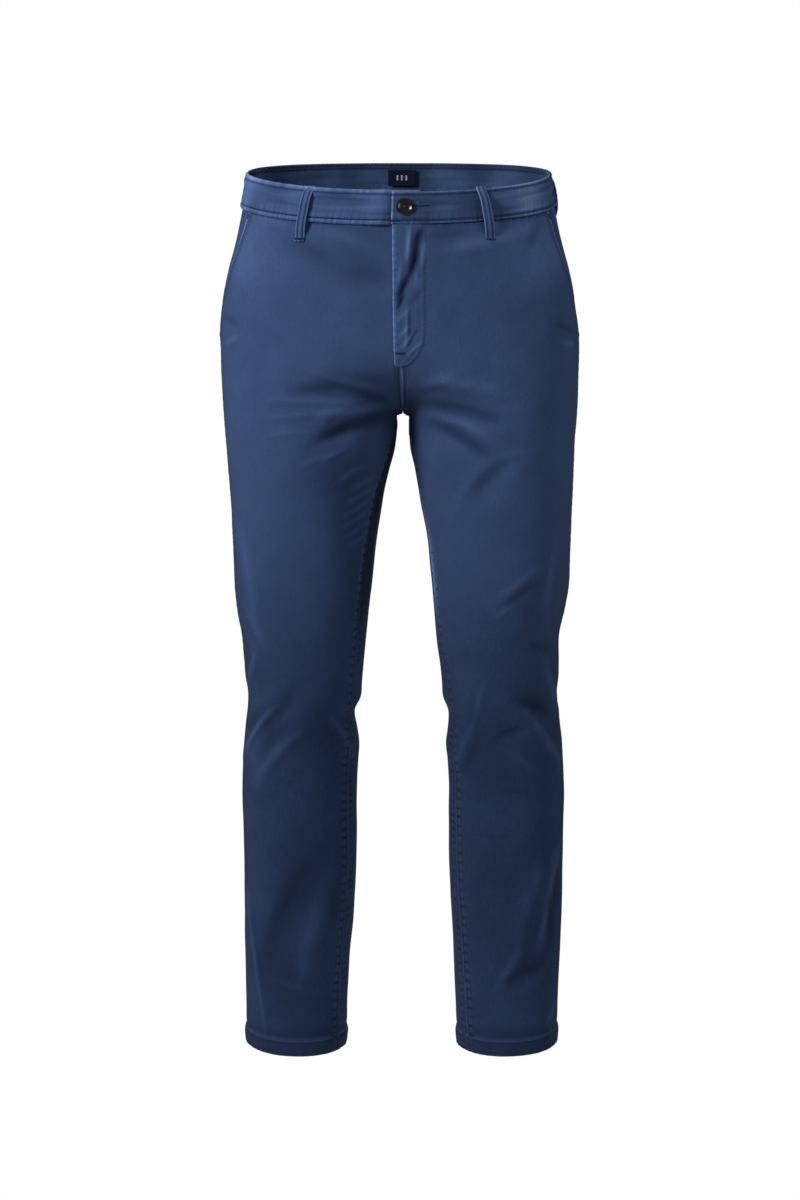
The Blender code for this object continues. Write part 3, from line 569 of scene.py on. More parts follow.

# %% [markdown]
# The cloth is chino twill: cotton dyed blue, brushed soft and washed. Washing leaves its
# ridges, edges and seams paler, and the yarn is a little uneven along the grain. So the
# colour is read from a ramp of blues by the wear of each point, which also carries painted
# light and shade, and by the unevenness of the yarn. A bump stands for twill's slanted ribs,
# drawn coarser than the real 0.4 mm so that they show, and sheen for the soft pile.

# %% Colours and nodes
def linear(code):
    """A #rrggbb colour as linear RGBA."""
    parts = [int(code[k:k + 2], 16) / 255 for k in (1, 3, 5)]
    return (*[v / 12.92 if v <= 0.04045 else ((v + 0.055) / 1.055) ** 2.4 for v in parts], 1.0)


def set_values(node, values):
    for key, value in values.items():
        node.inputs[key].default_value = value


def add(tree, kind, settings=None, values=None, links=None):
    """A node with its settings, input values, and inputs linked from other nodes' outputs."""
    node = tree.nodes.new(kind)
    for key, value in (settings or {}).items():
        setattr(node, key, value)
    set_values(node, values or {})
    for key, source in (links or {}).items():
        tree.links.new(source, node.inputs[key])
    return node


def noise(tree, place, scale, detail, **more):
    """Soft noise at a place, from 0 to 1."""
    values = {"Scale": scale, "Detail": detail, **more}
    return add(tree, "ShaderNodeTexNoise", {}, values, {"Vector": place}).outputs[0]


def ramped(tree, value, colours):
    """The colour that a ramp of colours has at a value."""
    ramp = add(tree, "ShaderNodeValToRGB", {}, {}, {"Fac": value})
    stops = ramp.color_ramp.elements
    while len(stops) < len(colours):
        stops.new(0.5)
    for stop, (at, code) in zip(stops, colours):
        stop.position, stop.color = at, linear(code)
    return ramp.outputs[0]


def new_material(name, roughness, specular, colour="#ffffff"):
    material = bpy.data.materials.new(name)
    material.use_nodes = True
    values = {"Roughness": roughness, "Specular IOR Level": specular, "Base Color": linear(colour)}
    set_values(material.node_tree.nodes["Principled BSDF"], values)
    return material


# %% Brushed cotton twill
RIB_PITCH = 1.5          # of the slanted ribs, in millimetres
YARN_WIDTH, YARN_LENGTH = 0.9, 16.0
ONE_BAND = 0.31416       # the scale that gives a wave texture one band a unit
BLUES = ((0.0, "#0b1224"), (0.25, "#1b2a46"), (0.5, "#33466b"), (0.75, "#50699a"), (1.0, "#8199c2"))
WRONG_SIDE_AND_SHADE = 0.78        # WRONG_SIDE_AND_SHADE = 0.78 # the light that the cloth's wrong side gives back, as a share: partly its duller wrong side, partly painted shade inside the band


def darker(code, share):
    """A hex colour with this share of its light."""
    parts = [int(code[k:k + 2], 16) for k in (1, 3, 5)]
    return "#" + "".join(f"{round(part * share ** (1 / 2.2)):02x}" for part in parts)


def twill_material(name, blues, rib=RIB_PITCH, slant=58.0):
    material = new_material(name, 0.86, 0.12)
    tree = material.node_tree
    shader = tree.nodes["Principled BSDF"]
    set_values(shader, {"Sheen Weight": 0.10, "Sheen Roughness": 0.55, "Sheen Tint": linear("#9fb4dd")})
    place = add(tree, "ShaderNodeUVMap", {"uv_map": "cloth"}).outputs[0]
    spot = add(tree, "ShaderNodeTexCoord").outputs["Object"]

    def mapped(values):
        return add(tree, "ShaderNodeMapping", {}, values, {"Vector": place}).outputs[0]

    def weighted(value, weight, onto):
        links = {0: value, 2: onto}
        return add(tree, "ShaderNodeMath", {"operation": "MULTIPLY_ADD"}, {1: weight}, links).outputs[0]

    yarn = noise(tree, mapped({"Scale": (1000 / YARN_WIDTH, 1000 / YARN_LENGTH, 1)}), 1.0, 2.0)
    turned = mapped({"Rotation": (0, 0, math.radians(slant)), "Scale": (1000 / rib,) * 3})
    ribs = add(tree, "ShaderNodeTexWave", {"wave_type": "BANDS", "bands_direction": "X"},
               {"Scale": ONE_BAND, "Distortion": 0.8, "Detail": 1.0}, {"Vector": turned}).outputs[1]
    cloud = noise(tree, spot, 26.0, 4.0, Roughness=0.6)
    fleck = noise(tree, spot, 420.0, 2.0)
    tone = add(tree, "ShaderNodeAttribute", {"attribute_name": "wear"}).outputs["Fac"]
    weights = ((yarn, 0.11), (ribs, 0.03), (cloud, 0.12), (fleck, 0.09))
    for value, weight in weights:
        tone = weighted(value, weight, tone)
    middle = sum(weight for _, weight in weights) / 2
    tone = add(tree, "ShaderNodeMath", {"operation": "SUBTRACT"}, {1: middle}, {0: tone}).outputs[0]
    tree.links.new(ramped(tree, tone, blues), shader.inputs["Base Color"])
    height = weighted(fleck, 0.6, weighted(yarn, 0.7, ribs))
    bumps = add(tree, "ShaderNodeBump", {}, {"Strength": 0.45, "Distance": 0.00022}, {"Height": height})
    tree.links.new(bumps.outputs[0], shader.inputs["Normal"])
    return material


TWILL = twill_material("brushed_cotton_twill", BLUES)
# a darker copy of the twill for the band's inside: partly its duller wrong side, partly painted shade
SHADED_WRONG_SIDE = twill_material("wrong_side_of_the_twill", [(at, darker(code, WRONG_SIDE_AND_SHADE)) for at, code in BLUES])
THREAD = new_material("blue_polyester_thread", 0.6, 0.4, "#33476e")
THREAD_DARK = new_material("shaded_blue_thread", 0.75, 0.2, "#1c2740")
# a near-black strip of painted shadow for the buttonhole's opening
SLIT_SHADOW = new_material("cut_edge_of_the_slit", 0.9, 0.1, "#0a0e18")
print(TWILL.name, "with", len(TWILL.node_tree.nodes), "nodes")

# %% [markdown]
# Each finished grid becomes a mesh: bmesh makes a flat grid of as many squares, its points are
# moved to their places, and a Solidify modifier gives it the cloth's thickness. The UV map
# holds real lengths, so that the weave has one size everywhere, and an attribute holds the
# wear together with the painted light and shade. At a seam the cloth turns in to its wrong
# side, so each seam is a groove between two rounded edges.

# %% From grid to cloth
LIP = (0.05, 0.35, 1.0)     # shares of a lip's depth
LIP_OUT = 0.2               # how far a lip reaches over to its neighbour, in millimetres
LIP_SHADE = 0.10            # how much darker its inner edge is
ACROSS, DOWN, WORN_AND_SHADED = 6, 7, 8    # columns of a cloth's table, after its points and ways inward


def with_lips(cloth):
    """Points, lengths and wear with the cloth's edges turned in to the wrong side."""
    across = cloth.start - cloth.start[:, cloth.start.shape[1] // 2, None]
    table = np.dstack([cloth.points, cloth.inward, across, cloth.top, cloth.wear])
    for edge in EDGES:
        if edge not in cloth.lips:
            continue
        last, sideways = edge in ("end", "bottom"), edge in SIDES
        strips = from_edge(table, edge)
        over, depth = cloth.across[edge], np.broadcast_to(cloth.lips[edge], len(cloth.across[edge]))
        if not sideways:        # its rows already have the lips of start and end
            pads = [(side in cloth.lips) * len(LIP) for side in SIDES]
            over = np.pad(over, (pads, (0, 0)), mode="edge")
            depth = np.pad(depth, pads, mode="edge")
        layers = []
        for share in LIP:
            layer = strips[0].copy()
            layer[:, :3] += over * LIP_OUT + layer[:, 3:6] * (depth * share)[:, None]
            layer[:, ACROSS if sideways else DOWN] += depth * share * (1 if last else -1)
            layer[:, WORN_AND_SHADED] -= LIP_SHADE * share
            layers.insert(0, layer)
        if edge == "top" and cloth.tuck:    # the allowance rises and leans out, into the band
            rise, lean = cloth.tuck
            tucked = layers[0].copy()
            tucked[:, :3] += over * rise - tucked[:, 3:6] * lean
            tucked[:, DOWN] -= rise
            layers.insert(0, tucked)
        strips = np.concatenate([np.array(layers), strips])
        strips = strips[::-1] if last else strips
        table = strips.swapaxes(0, 1) if sideways else strips
    return table[..., :3], table[..., ACROSS], table[..., DOWN], table[..., WORN_AND_SHADED]


def mesh_of(shape, name):
    mesh = bpy.data.meshes.new(name)
    shape.to_mesh(mesh)
    shape.free()
    return mesh


def linked(name, data):
    """A new object, linked to the scene."""
    thing = bpy.data.objects.new(name, data)
    bpy.context.scene.collection.objects.link(thing)
    return thing


def cloth_object(cloth, thickness, material, inside=None):
    """Makes the object of a piece of cloth, hides its solid and parents it to the root body."""
    points, across, down, worn_and_shaded = with_lips(cloth)
    rows, columns = down.shape
    shape = bmesh.new()
    bmesh.ops.create_grid(shape, x_segments=columns - 1, y_segments=rows - 1, size=1)
    uv = shape.loops.layers.uv.new("cloth")
    # this attribute holds wear and painted light and shade together
    wear = shape.verts.layers.float.new("wear")
    index = {}
    for v in shape.verts:
        i = round((1 - v.co.y) / 2 * (rows - 1))
        j = round((v.co.x + 1) / 2 * (columns - 1))
        index[v] = (i, j)
        v.co = points[i, j] * MM
        v[wear] = worn_and_shaded[i, j]
    for face in shape.faces:
        for corner in face.loops:
            place = index[corner.vert]
            corner[uv].uv = (across[place] * MM, -down[place] * MM)
    shape.faces.ensure_lookup_table()
    middle = shape.faces[len(shape.faces) // 2 + columns // 2]
    middle.normal_update()
    nearest = np.linalg.norm(cloth.points - np.array(middle.calc_center_median()) / MM, axis=2).argmin()
    if middle.normal.dot(Vector(cloth.normals.reshape(-1, 3)[nearest])) < 0:
        bmesh.ops.reverse_faces(shape, faces=shape.faces)
    mesh = mesh_of(shape, cloth.name)
    mesh.shade_smooth()
    for skin in (inside, material) if inside else (material,):
        mesh.materials.append(skin)
    thing = linked(cloth.name, mesh)
    wall = thing.modifiers.new("cloth thickness", "SOLIDIFY")
    wall.thickness, wall.offset, wall.use_even_offset = thickness * MM, -1.0, False
    if inside:      # the second material shows outside, and on the rim
        wall.material_offset, wall.material_offset_rim = 1, 1
    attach(thing, "root")
    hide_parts(cloth.node)


# %% [markdown]
# Stitches lie in rows a few millimetres from an edge. A row is read from the grid by its
# distance to that edge and cut into steps, and a small rounded thread is laid on each step.
# Hundreds of them join into one object.

# %% Rows of stitches
Line = namedtuple("Line", "points normals")
GLANCE = 0.4        # how far before and behind a stitch its direction is read, in millimetres


def read(at, run, values):
    """Points or directions at these distances along a run of them."""
    return np.stack([np.interp(at, run, values[:, k]) for k in range(3)], axis=-1)


def inset(cloth, edge, away, low=-math.inf, high=math.inf):
    """The line at a distance from one of the cloth's edges, between two heights."""
    tables = getattr(cloth, edge), cloth.points, cloth.normals
    if edge not in SIDES:
        tables = [table.swapaxes(0, 1) for table in tables]
    if edge in ("end", "bottom"):
        tables = [table[:, ::-1] for table in tables]
    points = np.array([read(away, d, p) for d, p, _ in zip(*tables)])
    normals = np.array([read(away, d, n) for d, _, n in zip(*tables)])
    kept = (points[:, 2] > low) & (points[:, 2] < high)
    return Line(points[kept], normals[kept])


def level_line(cloth, z, first, last):
    """A line across the cloth at one height, between two distances from its start."""
    row = np.abs(cloth.points[:, :, 2].mean(axis=1) - z).argmin()
    kept = (cloth.start[row] > first) & (cloth.start[row] < last)
    return Line(cloth.points[row, kept], cloth.normals[row, kept])


ball = bmesh.new()
bmesh.ops.create_icosphere(ball, subdivisions=1, radius=1)
ONE_STITCH = mesh_of(ball, "one stitch")
STITCH_COS = np.array([v.co[:] for v in ONE_STITCH.vertices])


def stitched(name, lines, pitch=2.8, length=2.3, width=0.55, height=0.35, raised=0.0,
             material=THREAD, cross=False):
    """One object of threads laid along lines, or across them."""
    shape = bmesh.new()
    count = 0
    for line in lines:
        run = along(line.points[:, None])[:, 0]
        steps = np.arange(pitch / 2, run[-1], pitch)
        ways = read(steps + GLANCE, run, line.points) - read(steps - GLANCE, run, line.points)
        normals = read(steps, run, line.normals)
        for p, way, n in zip(read(steps, run, line.points), ways, normals):
            n = Vector(n).normalized()
            t = Vector(way).normalized()
            side = n.cross(t).normalized()
            if cross:
                t, side = side, t
            axes = np.array([t * length / 2, side * width / 2, n * height])
            co = STITCH_COS @ axes + p + np.array(n) * raised
            ONE_STITCH.vertices.foreach_set("co", (co * MM).ravel())
            shape.from_mesh(ONE_STITCH)
            count += 1
    bmesh.ops.recalc_face_normals(shape, faces=shape.faces)
    mesh = mesh_of(shape, name)
    mesh.shade_smooth()
    mesh.materials.append(material)
    thing = linked(name, mesh)
    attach(thing, "root")
    print(name, count, "stitches")
    return thing


# %% [markdown]
# The leg panels are the largest pieces: two in front, two behind. Their tone falls from the
# pale thighs to the darker shins. Crease ridges are painted paler and their troughs darker,
# partly wash wear and partly painted light and shade.

# %% The leg panels
SEAT_Z, SHIN_Z = -330.0, -720.0         # where the tone's fall begins and ends
PALE_THIGH, DARK_SHIN = 0.50, 0.305
INSEAM_Z, HEM_Z = -300.0, -1050.0       # below these lie the puckers of the inseam and the hem
CENTRE_TOP_Z = -222.0                   # where the centre seam comes out from under the fly
CENTRE_SEWN = (-289, -226)              # between these heights its stitches show
SEAT_SEWN_Z = -285                      # the seat seam's stitches end here, above the crotch
MOUTH_END_Z = -203.0                    # the lower end of the pocket's mouth
MOUTH_TACKS = (-52.0, -196.0)
MOUTH_ROWS, HEM_ROW = (2.0, 7.0), 18.6  # stitches, from the edge
CROTCH_X, BRIDGE_HALF = 3.7, 7.8        # the crotch's middle, and half its flat width
PANEL_STEP = {"front": 2.45, "back": 2.95}
PANEL_CLOTH = 1.3
TUCK_RISE = 4.0                         # how far a top allowance rises behind the band
BAND_OUT = {"front_left": 4.7, "front_right": 7.6, "back_left": 7.6, "back_right": 7.6}


def smoothed(cloth):
    """Evens out the solid's hard row beside the crotch and the bumps over the left thigh."""
    p = cloth.points
    x, z = p[..., 0], p[..., 2]
    places = bump(z, CROTCH_Z, 9) + bump(x, 75, 45) * bump(z, -270, 14)
    share = np.clip(places * ease((cloth.start - 3) / 8), 0, 1)[..., None]
    for _ in range(60):
        level = p.copy()
        level[1:-1] = (p[:-2] + 2 * p[1:-1] + p[2:]) / 4
        p = p * (1 - share) + level * share
    cloth.points, cloth.normals = p, normals_of(p)


def panel(node):
    """A leg panel, first its lift and then its wear."""
    face, side = node.split("_")
    cloth = Cloth(node, LEG_NODES[node], PANEL_STEP[face])
    smoothed(cloth)
    p, n, z = cloth.points, cloth.normals, cloth.points[..., 2]
    start, end, top, bottom = cloth.start, cloth.end, cloth.top, cloth.bottom
    front = ease((0.3 - n[..., 1]) / 0.6)       # 1 where the cloth faces forward, 0 where it faces back
    creases = front * relief(p, FRONT_CREASES) + (1 - front) * relief(p, BACK_CREASES)
    down, down_end = top[:, :1], top[:, -1:]
    mouth = ease((z - MOUTH_END_Z) / 6) if face == "front" else np.zeros(z.shape)
    seed = 1.0 if side == "left" else 2.3
    # the rope of puckers beside the inseam, and pinches where the seam allowance ends
    below = ease((INSEAM_Z - z) / 30)
    dash = dashes(down, 11.5 if face == "front" else 9.0, 1.7 if side == "left" else 3.1)
    pinch = below * bump(start, 7.5, 3.6) * dash
    lift = creases + swells(p, 0.35) - 0.9 * pinch
    lift += below * pucker(start, down, 7.3, 9, 0.55, seed)
    lift += (1 - mouth) * pucker(end, down_end, 9.1, 8, 0.2, seed + 1)
    lift += (1 - below) * pucker(start, down, 8.0, 6, 0.25, seed + 2)
    lift += pucker(top, start, 4.6, 9, 0.45, seed + 3)
    lift += ease((HEM_Z - z) / 10) * pucker(bottom, start, 10.5, 16, 0.35, seed + 4)
    # seams sink, and the pocket's mouth is a thick turned edge
    lift += (1 - mouth) * folded_edge(end, 0.9, 2.2) + mouth * folded_edge(end, 1.3, 1.8)
    for edge, depth, radius in ((start, 0.9, 2.2), (top, 1.0, 2.2), (bottom, 1.2, 1.6)):
        lift += folded_edge(edge, depth, radius)
    lift += 0.45 * mouth * bump(end, 4.0, 2.6)
    for away in MOUTH_ROWS:
        lift -= 0.4 * mouth * bump(end, away, 0.9)
    cloth.lift = lift - 0.35 * bump(bottom, HEM_ROW, 1.0)
    fall = ease((z - SEAT_Z) / (SHIN_Z - SEAT_Z))
    tone = PALE_THIGH + (DARK_SHIN - PALE_THIGH) * fall + front * fade_and_shade(p, FRONT_FADES_AND_SHADE)
    # crease ridges painted paler and troughs darker: partly wear, partly painted highlight and shade
    tone += np.where(creases < 0, 0.05, 0.06) * np.clip(creases, -3.5, 2.5)
    rub = 1 + 0.5 * uneven(down, 11, seed)
    # the seam's edge rubs pale, and the pinches are painted darker as the shade in their dents
    tone += 0.16 * rub * np.exp(-start / 1.3) * (0.4 + 0.6 * below) - 0.50 * pinch
    tone += below * (0.05 * bump(start, 6.5, 3.5) - 0.20 * bump(start, 2.7, 1.2))
    # painted shade on the sides, where the cloth faces sideways, below the hips
    tone -= 0.16 * bump(n[..., 1], -0.05, 0.30) * ease((-40 - z) / 80)
    # the inner thighs: the right one lies in shade, the left one's seam catches the light
    thigh = below * (1 - ease((-470 - z) / 120))
    if side == "right":
        depth, reach = (0.24, 8) if face == "front" else (0.5, 24)
        tone -= thigh * (depth * bump(start, 0, reach) - 0.22 * bump(start, 10.5, 1.6))
    else:
        tone += thigh * (0.36 * np.exp(-start / 2.4) + 0.42 * bump(start, 0, 13))
    # the double fold of the centre seam below the fly
    centre = ease((z + 296) / 5) * ease((CENTRE_TOP_Z - z) / 6)
    tone += centre * (0.34 * np.exp(-start / 1.3) + 0.18 * bump(start, 5.4, 1.3))
    tone -= centre * (0.30 * bump(start, 2.9, 1.1) + 0.12 * bump(start, 8.2, 1.5))
    # the side seam, the pocket's mouth, the hem and the seam of the band
    tone += 0.08 * rub * np.exp(-end / 2.2) + 0.46 * mouth * bump(end, 0, 3.2)
    tone -= 0.26 * mouth * bump(end, 5.0, 1.5) * (0.5 + dashes(down_end, 6.5, seed))
    tone -= 0.22 * mouth * bump(end, 9.6, 1.8) * (0.4 + dashes(down_end, 5.6, seed + 1))
    tone += 0.14 * np.exp(-bottom / 1.6) + 0.30 * bump(bottom, HEM_ROW + 2, 1.2)
    tone -= 0.10 * bump(bottom, HEM_ROW - 1.2, 1.4) + 0.10 * bump(bottom, 3.2, 1.4)
    # the panel's top is painted darker as the band's shadow, and its puckers there are painted paler and
    # darker with their relief, as painted light and shade
    tone -= 0.06 * ease((HEM_Z - z) / 15) + 0.20 * np.exp(-top / 1.8)
    cloth.wear = tone + 0.05 * pucker(top, start, 4.6, 10, 1.0, seed + 3)
    cloth.lips = {"start": 4.5, "end": 4.5 - 3.6 * mouth[:, -1], "top": 3.4, "bottom": 2.5}
    cloth.tuck = (TUCK_RISE, BAND_OUT[node])
    cloth.moved()
    part_legs(cloth)
    return cloth


def part_legs(cloth):
    """Draws the legs apart right below the crotch, where the seams meet in a flat bridge."""
    side = 1.0 if cloth.node.endswith("left") else -1.0
    z, out = cloth.points[..., 2], side * (cloth.points[..., 0] - CROTCH_X)
    wanted = BRIDGE_HALF * ease((CROTCH_Z - 0.3 - z[:, :1]) / 2.4)
    pull = np.maximum(wanted - np.maximum(out[:, :1], 0), 0) * bump(cloth.start, 0, 15)
    cloth.points[..., 0] += side * pull
    cloth.points[..., 2] += 0.6 * pull * bump(z, CROTCH_Z, 6)
    cloth.points[..., 2] -= 2.4 * bump(cloth.start, 0, 6) * bump(z, CROTCH_Z, 2.2)
    cloth.normals = normals_of(cloth.points)


panels = {node: panel(node) for node in LEG_NODES}
for node, cloth in panels.items():
    print(node, cloth.points.shape, "lift done")

# %% Their stitching
seams = {}
for node, cloth in panels.items():
    bars = []
    if node.startswith("front"):
        lines = [inset(cloth, "start", away, high=INSEAM_Z) for away in (1.6, 8.6)]
        lines += [inset(cloth, "start", away, *CENTRE_SEWN) for away in (1.7, 5.2)]
        lines += [inset(cloth, "end", away, low=MOUTH_END_Z) for away in MOUTH_ROWS]
        tacks = [inset(cloth, "end", away, z - 4, z + 4) for away in (1.4, 2.2, 3.0) for z in MOUTH_TACKS]
        bars = [stitched("bartacks_" + node, tacks, pitch=0.9, length=1.6, width=0.7, height=0.5,
                         material=THREAD_DARK)]
    else:
        lines = [inset(cloth, "start", away, low=SEAT_SEWN_Z) for away in (1.8, 6.6)]
    lines.append(inset(cloth, "bottom", HEM_ROW))
    seams[node] = [stitched("stitches_" + node, lines, pitch=3.1, length=2.3, width=0.6, height=0.3), *bars]

# %% [markdown]
# The pocket facing is the cloth that shows behind the slanted mouth. It is a plain strip that
# starts under the front panel and is sewn into the side seam.

# %% Pocket facings and back welts
MOUTH_AT = 14.0         # where the front panel's edge lies over a facing, from its start


def small_piece(node, columns, step, depth, radius, edges=EDGES):
    """A small piece with turned edges that rub pale."""
    cloth = Cloth(node, columns, step)
    edges = [getattr(cloth, edge) for edge in edges]
    cloth.lift = swells(cloth.points, 0.2) + sum(folded_edge(away, depth, radius) for away in edges)
    cloth.wear = PALE_THIGH + 0.16 * np.exp(-np.minimum.reduce(edges) / 1.6)
    return cloth


for side in ("left", "right"):
    facing = small_piece("pocket_facing_" + side, 4, 2.6, 0.6, 1.8, ("start",))
    # the facing is painted darker where it runs under the front panel's mouth edge, as painted shadow of that
    # edge
    facing.wear = PALE_THIGH - 0.03 - 0.10 * np.exp(-np.maximum(facing.start - MOUTH_AT, 0) / 4)
    facing.lips = {"end": 3.0}
    facing.moved()
    cloth_object(facing, 1.2, TWILL)
    welt = small_piece("back_welt_" + side, 12, 1.6, 1.0, 1.6)
    welt.lift -= 0.5 * bump(welt.top, 5.4, 0.9)
    welt.lift += pucker(welt.top, welt.start, 5.2, 30, 0.2, 3.1)
    welt.moved()
    lines = [inset(welt, edge, 1.8) for edge in ("top", "bottom")]
    ends = [inset(welt, edge, away) for edge in SIDES for away in (1.2, 2.4)]
    sewn = stitched("stitches_back_welt_" + side, lines, pitch=2.6, length=2.0)
    bars = stitched("bartacks_back_welt_" + side, ends, pitch=0.7, length=2.2, width=0.6, cross=True)
    cloth_object(welt, 1.2, TWILL)

# %% [markdown]
# The fly placket covers the zip. Seen from in front, its left edge is the folded edge of the
# cloth and rubs pale. Its right side is only stitched down, in two rows that turn in a J, so
# that edge is drawn flush with the panel. The trousers gape a little here, which leaves a
# deep slanted fold below the button and small crumples at the J.

# %% The fly placket
FLY_ROWS = (3.2, 8.0)
fly = Cloth("fly_placket", 6, 1.25)
fly_creases = relief(fly.points, FRONT_CREASES)
fly.lift = fly_creases + swells(fly.points, 0.15)
fly.lift += folded_edge(fly.start, 1.5, 1.8) + folded_edge(fly.top, 0.8, 2.0)
fly.lift -= 1.35 * (1 - ease(fly.end / 4.0)) + 1.2 * (1 - ease(fly.bottom / 5.0))
fly.lift += pucker(fly.start, fly.top, 6.1, 6, 0.4, 0.7) + pucker(fly.end, fly.top, 5.3, 7, 0.3, 1.9)
for away in FLY_ROWS:
    fly.lift -= 0.3 * bump(fly.end, away, 0.9)
# crease ridges painted paler and troughs darker: partly wear, partly painted highlight and shade
fly.wear = PALE_THIGH + np.where(fly_creases < 0, 0.085, 0.09) * np.clip(fly_creases, -4, 3)
fly.wear += 0.44 * np.exp(-fly.start / 2.0) * (0.75 + 0.25 * uneven(fly.top, 9, 0.3))
fly.wear -= 0.12 * bump(fly.start, 4.2, 1.4) * dashes(fly.top, 9.0, 0.9)
fly.wear += 0.03 * bump(fly.end, 5.6, 1.6) - 0.10 * bump(fly.end, 8.6, 1.2) * dashes(fly.top, 5.1, 2.2)
fly.lips = {"start": 0.9}
fly.moved()
fly_lines = [inset(fly, "end", away) for away in FLY_ROWS] + [inset(fly, "start", 1.8)]
fly_rows = stitched("stitches_fly", fly_lines, pitch=2.7, length=2.0, width=0.6, height=0.3)
fly_tack = stitched("bartack_fly", [level_line(fly, -214.5, 0.6, 15.0)], pitch=0.7, length=3.4, width=0.7,
                    height=0.5, cross=True, material=THREAD_DARK)
cloth_object(fly, 1.2, TWILL)

# %% [markdown]
# The waistband is a folded strip with a stiff layer inside. Its top edge rubs pale, a row of
# stitches runs a few millimetres below that edge and another just above the seam, and long
# creases lie along it where it has bent round the waist.

# %% The waistband
BAND_STEP, BAND_CLOTH = 1.4, 2.4
TOP_ROW, FOOT_ROW = 3.7, 4.2      # its rows of stitches, from the edges
BandCrease = namedtuple("BandCrease", "drop width rise pace")   # pace: how fast it wanders and fades
BAND_CREASES = [BandCrease(*row) for row in (
    (9.5, 2.2, 0.9, 31),
    (14.0, 2.4, -1.2, 47),
    (19.5, 2.6, 1.0, 61),
    (24.5, 2.2, -1.1, 38),
    (29.5, 2.4, 0.8, 53),
)]
# painted shade beside the button, a painted highlight at the band's left end, and a paler patch at its sides
BAND_LIGHT_AND_SHADE = [Fade(*row) for row in (
    (66, -26, 38, 40, -0.05),       # beside the button
    (150, -26, 28, 40, 0.26),       # at the sides
    (-168, -18, 26, 40, 0.08),
)]


def waistband(node, seed, ends):
    """A part of the waistband and its stitches; its ends are the edges that show."""
    cloth = Cloth(node, None, BAND_STEP)
    p, run, top, bottom = cloth.points, cloth.start, cloth.top, cloth.bottom
    ends_away = [getattr(cloth, edge) for edge in ends]
    behind = node.endswith("back")
    lift = swells(p, 0.28)
    for c in BAND_CREASES:
        drift = 3.2 * np.sin(run / c.pace + seed * c.drop)
        strength = np.clip(0.35 + 0.75 * np.sin(run / (c.pace * 0.5) + 1.3 * c.drop + seed), 0, 1)
        lift += (0.3 if behind else 1.0) * c.rise * strength * bump(top, c.drop + drift, c.width)
    lift -= 0.9 * bump(top, TOP_ROW, 1.1) + 1.1 * bump(bottom, FOOT_ROW, 1.1)
    lift += 0.3 * bump(top, 1.9, 1.1) + 0.5 * bump(bottom, 2.0, 1.1)
    lift += pucker(top - 1, run, 5.1, 5, 0.38, seed) + pucker(bottom - 2, run, 4.4, 6, 0.55, seed + 1)
    lift += folded_edge(bottom, 1.1, 1.6)
    for away in (top, *ends_away):
        lift += folded_edge(away, 1.2, 1.6)
    cloth.lift = lift
    rub = 0.75 + 0.25 * uneven(run, 13, seed)
    # the band is painted paler where its swells and creases rise and darker where they sink: partly wear,
    # partly painted light and shade of its relief
    tone = PALE_THIGH + 0.03 + 0.04 * swells(p, 1.0) + 0.07 * np.clip(lift, -1, 1)
    if not behind:
        tone += fade_and_shade(p, BAND_LIGHT_AND_SHADE)
    tone += (-0.05 if behind else 0.46) * rub * np.exp(-top / 2.0) - 0.30 * bump(top, TOP_ROW, 1.4)
    tone -= 0.12 * bump(top, TOP_ROW + 0.6, 1.6) * dashes(run, 5.3, seed)
    tone += 0.15 * rub * bump(bottom, 1.8, 1.0) - 0.28 * bump(bottom, FOOT_ROW, 1.3)
    tone += 0.08 * pucker(bottom - 3, run, 6.2, 9, 1.0, seed + 2)
    for away in ends_away:
        tone += 0.55 * np.exp(-away / 2.1) - 0.16 * bump(away, 3.6, 1.0)
    cloth.wear = tone
    cloth.lips = {"start": 1.0 if ends else 3.0, "end": 3.0}
    cloth.moved()
    lines = [inset(cloth, "top", TOP_ROW), inset(cloth, "bottom", FOOT_ROW)]
    lines += [inset(cloth, edge, 3.4) for edge in ends]
    return cloth, stitched("stitches_" + node, lines, pitch=2.7, length=2.1, width=0.6, height=0.3)


bands = {}
for face, seed, ends in (("front_left", 0.4, ("start",)), ("front_right", 1.9, ()), ("back", 3.3, ())):
    node = "waistband_" + face
    bands[node], sewn = waistband(node, seed, ends)
    seams[node] = [sewn]

# %% [markdown]
# Belt loops are narrow straps, folded lengthwise and stitched along both edges. A bartack, a
# dense bar of stitches, holds the lower end. The upper end lies at the band's top edge.

# %% Belt loops
LOOPS = [node for node in NODES if node.startswith("belt_loop")]
LOOP_REACH = 1.05        # its length as a share of the solid's, up to right under the band's edge
AVERAGED = 4             # rows on each side that a leant loop's height is averaged over
LOOP_LEANS = {"belt_loop_front_right": 6.5, "belt_loop_front_left": -5.5}    # of the top end
BASE = [cloth for cloth in (*bands.values(), *panels.values()) if "back" not in cloth.node]
BASE_POINTS = np.concatenate([cloth.points.reshape(-1, 3) for cloth in BASE])
BASE_NORMALS = np.concatenate([cloth.normals.reshape(-1, 3) for cloth in BASE])


def heights_over_base(points):
    """How high points lie over the band and panels, and which way is up there."""
    nearest = [np.linalg.norm(BASE_POINTS - p, axis=1).argmin() for p in points]
    normals = BASE_NORMALS[nearest]
    return np.sum((points - BASE_POINTS[nearest]) * normals, axis=1), normals


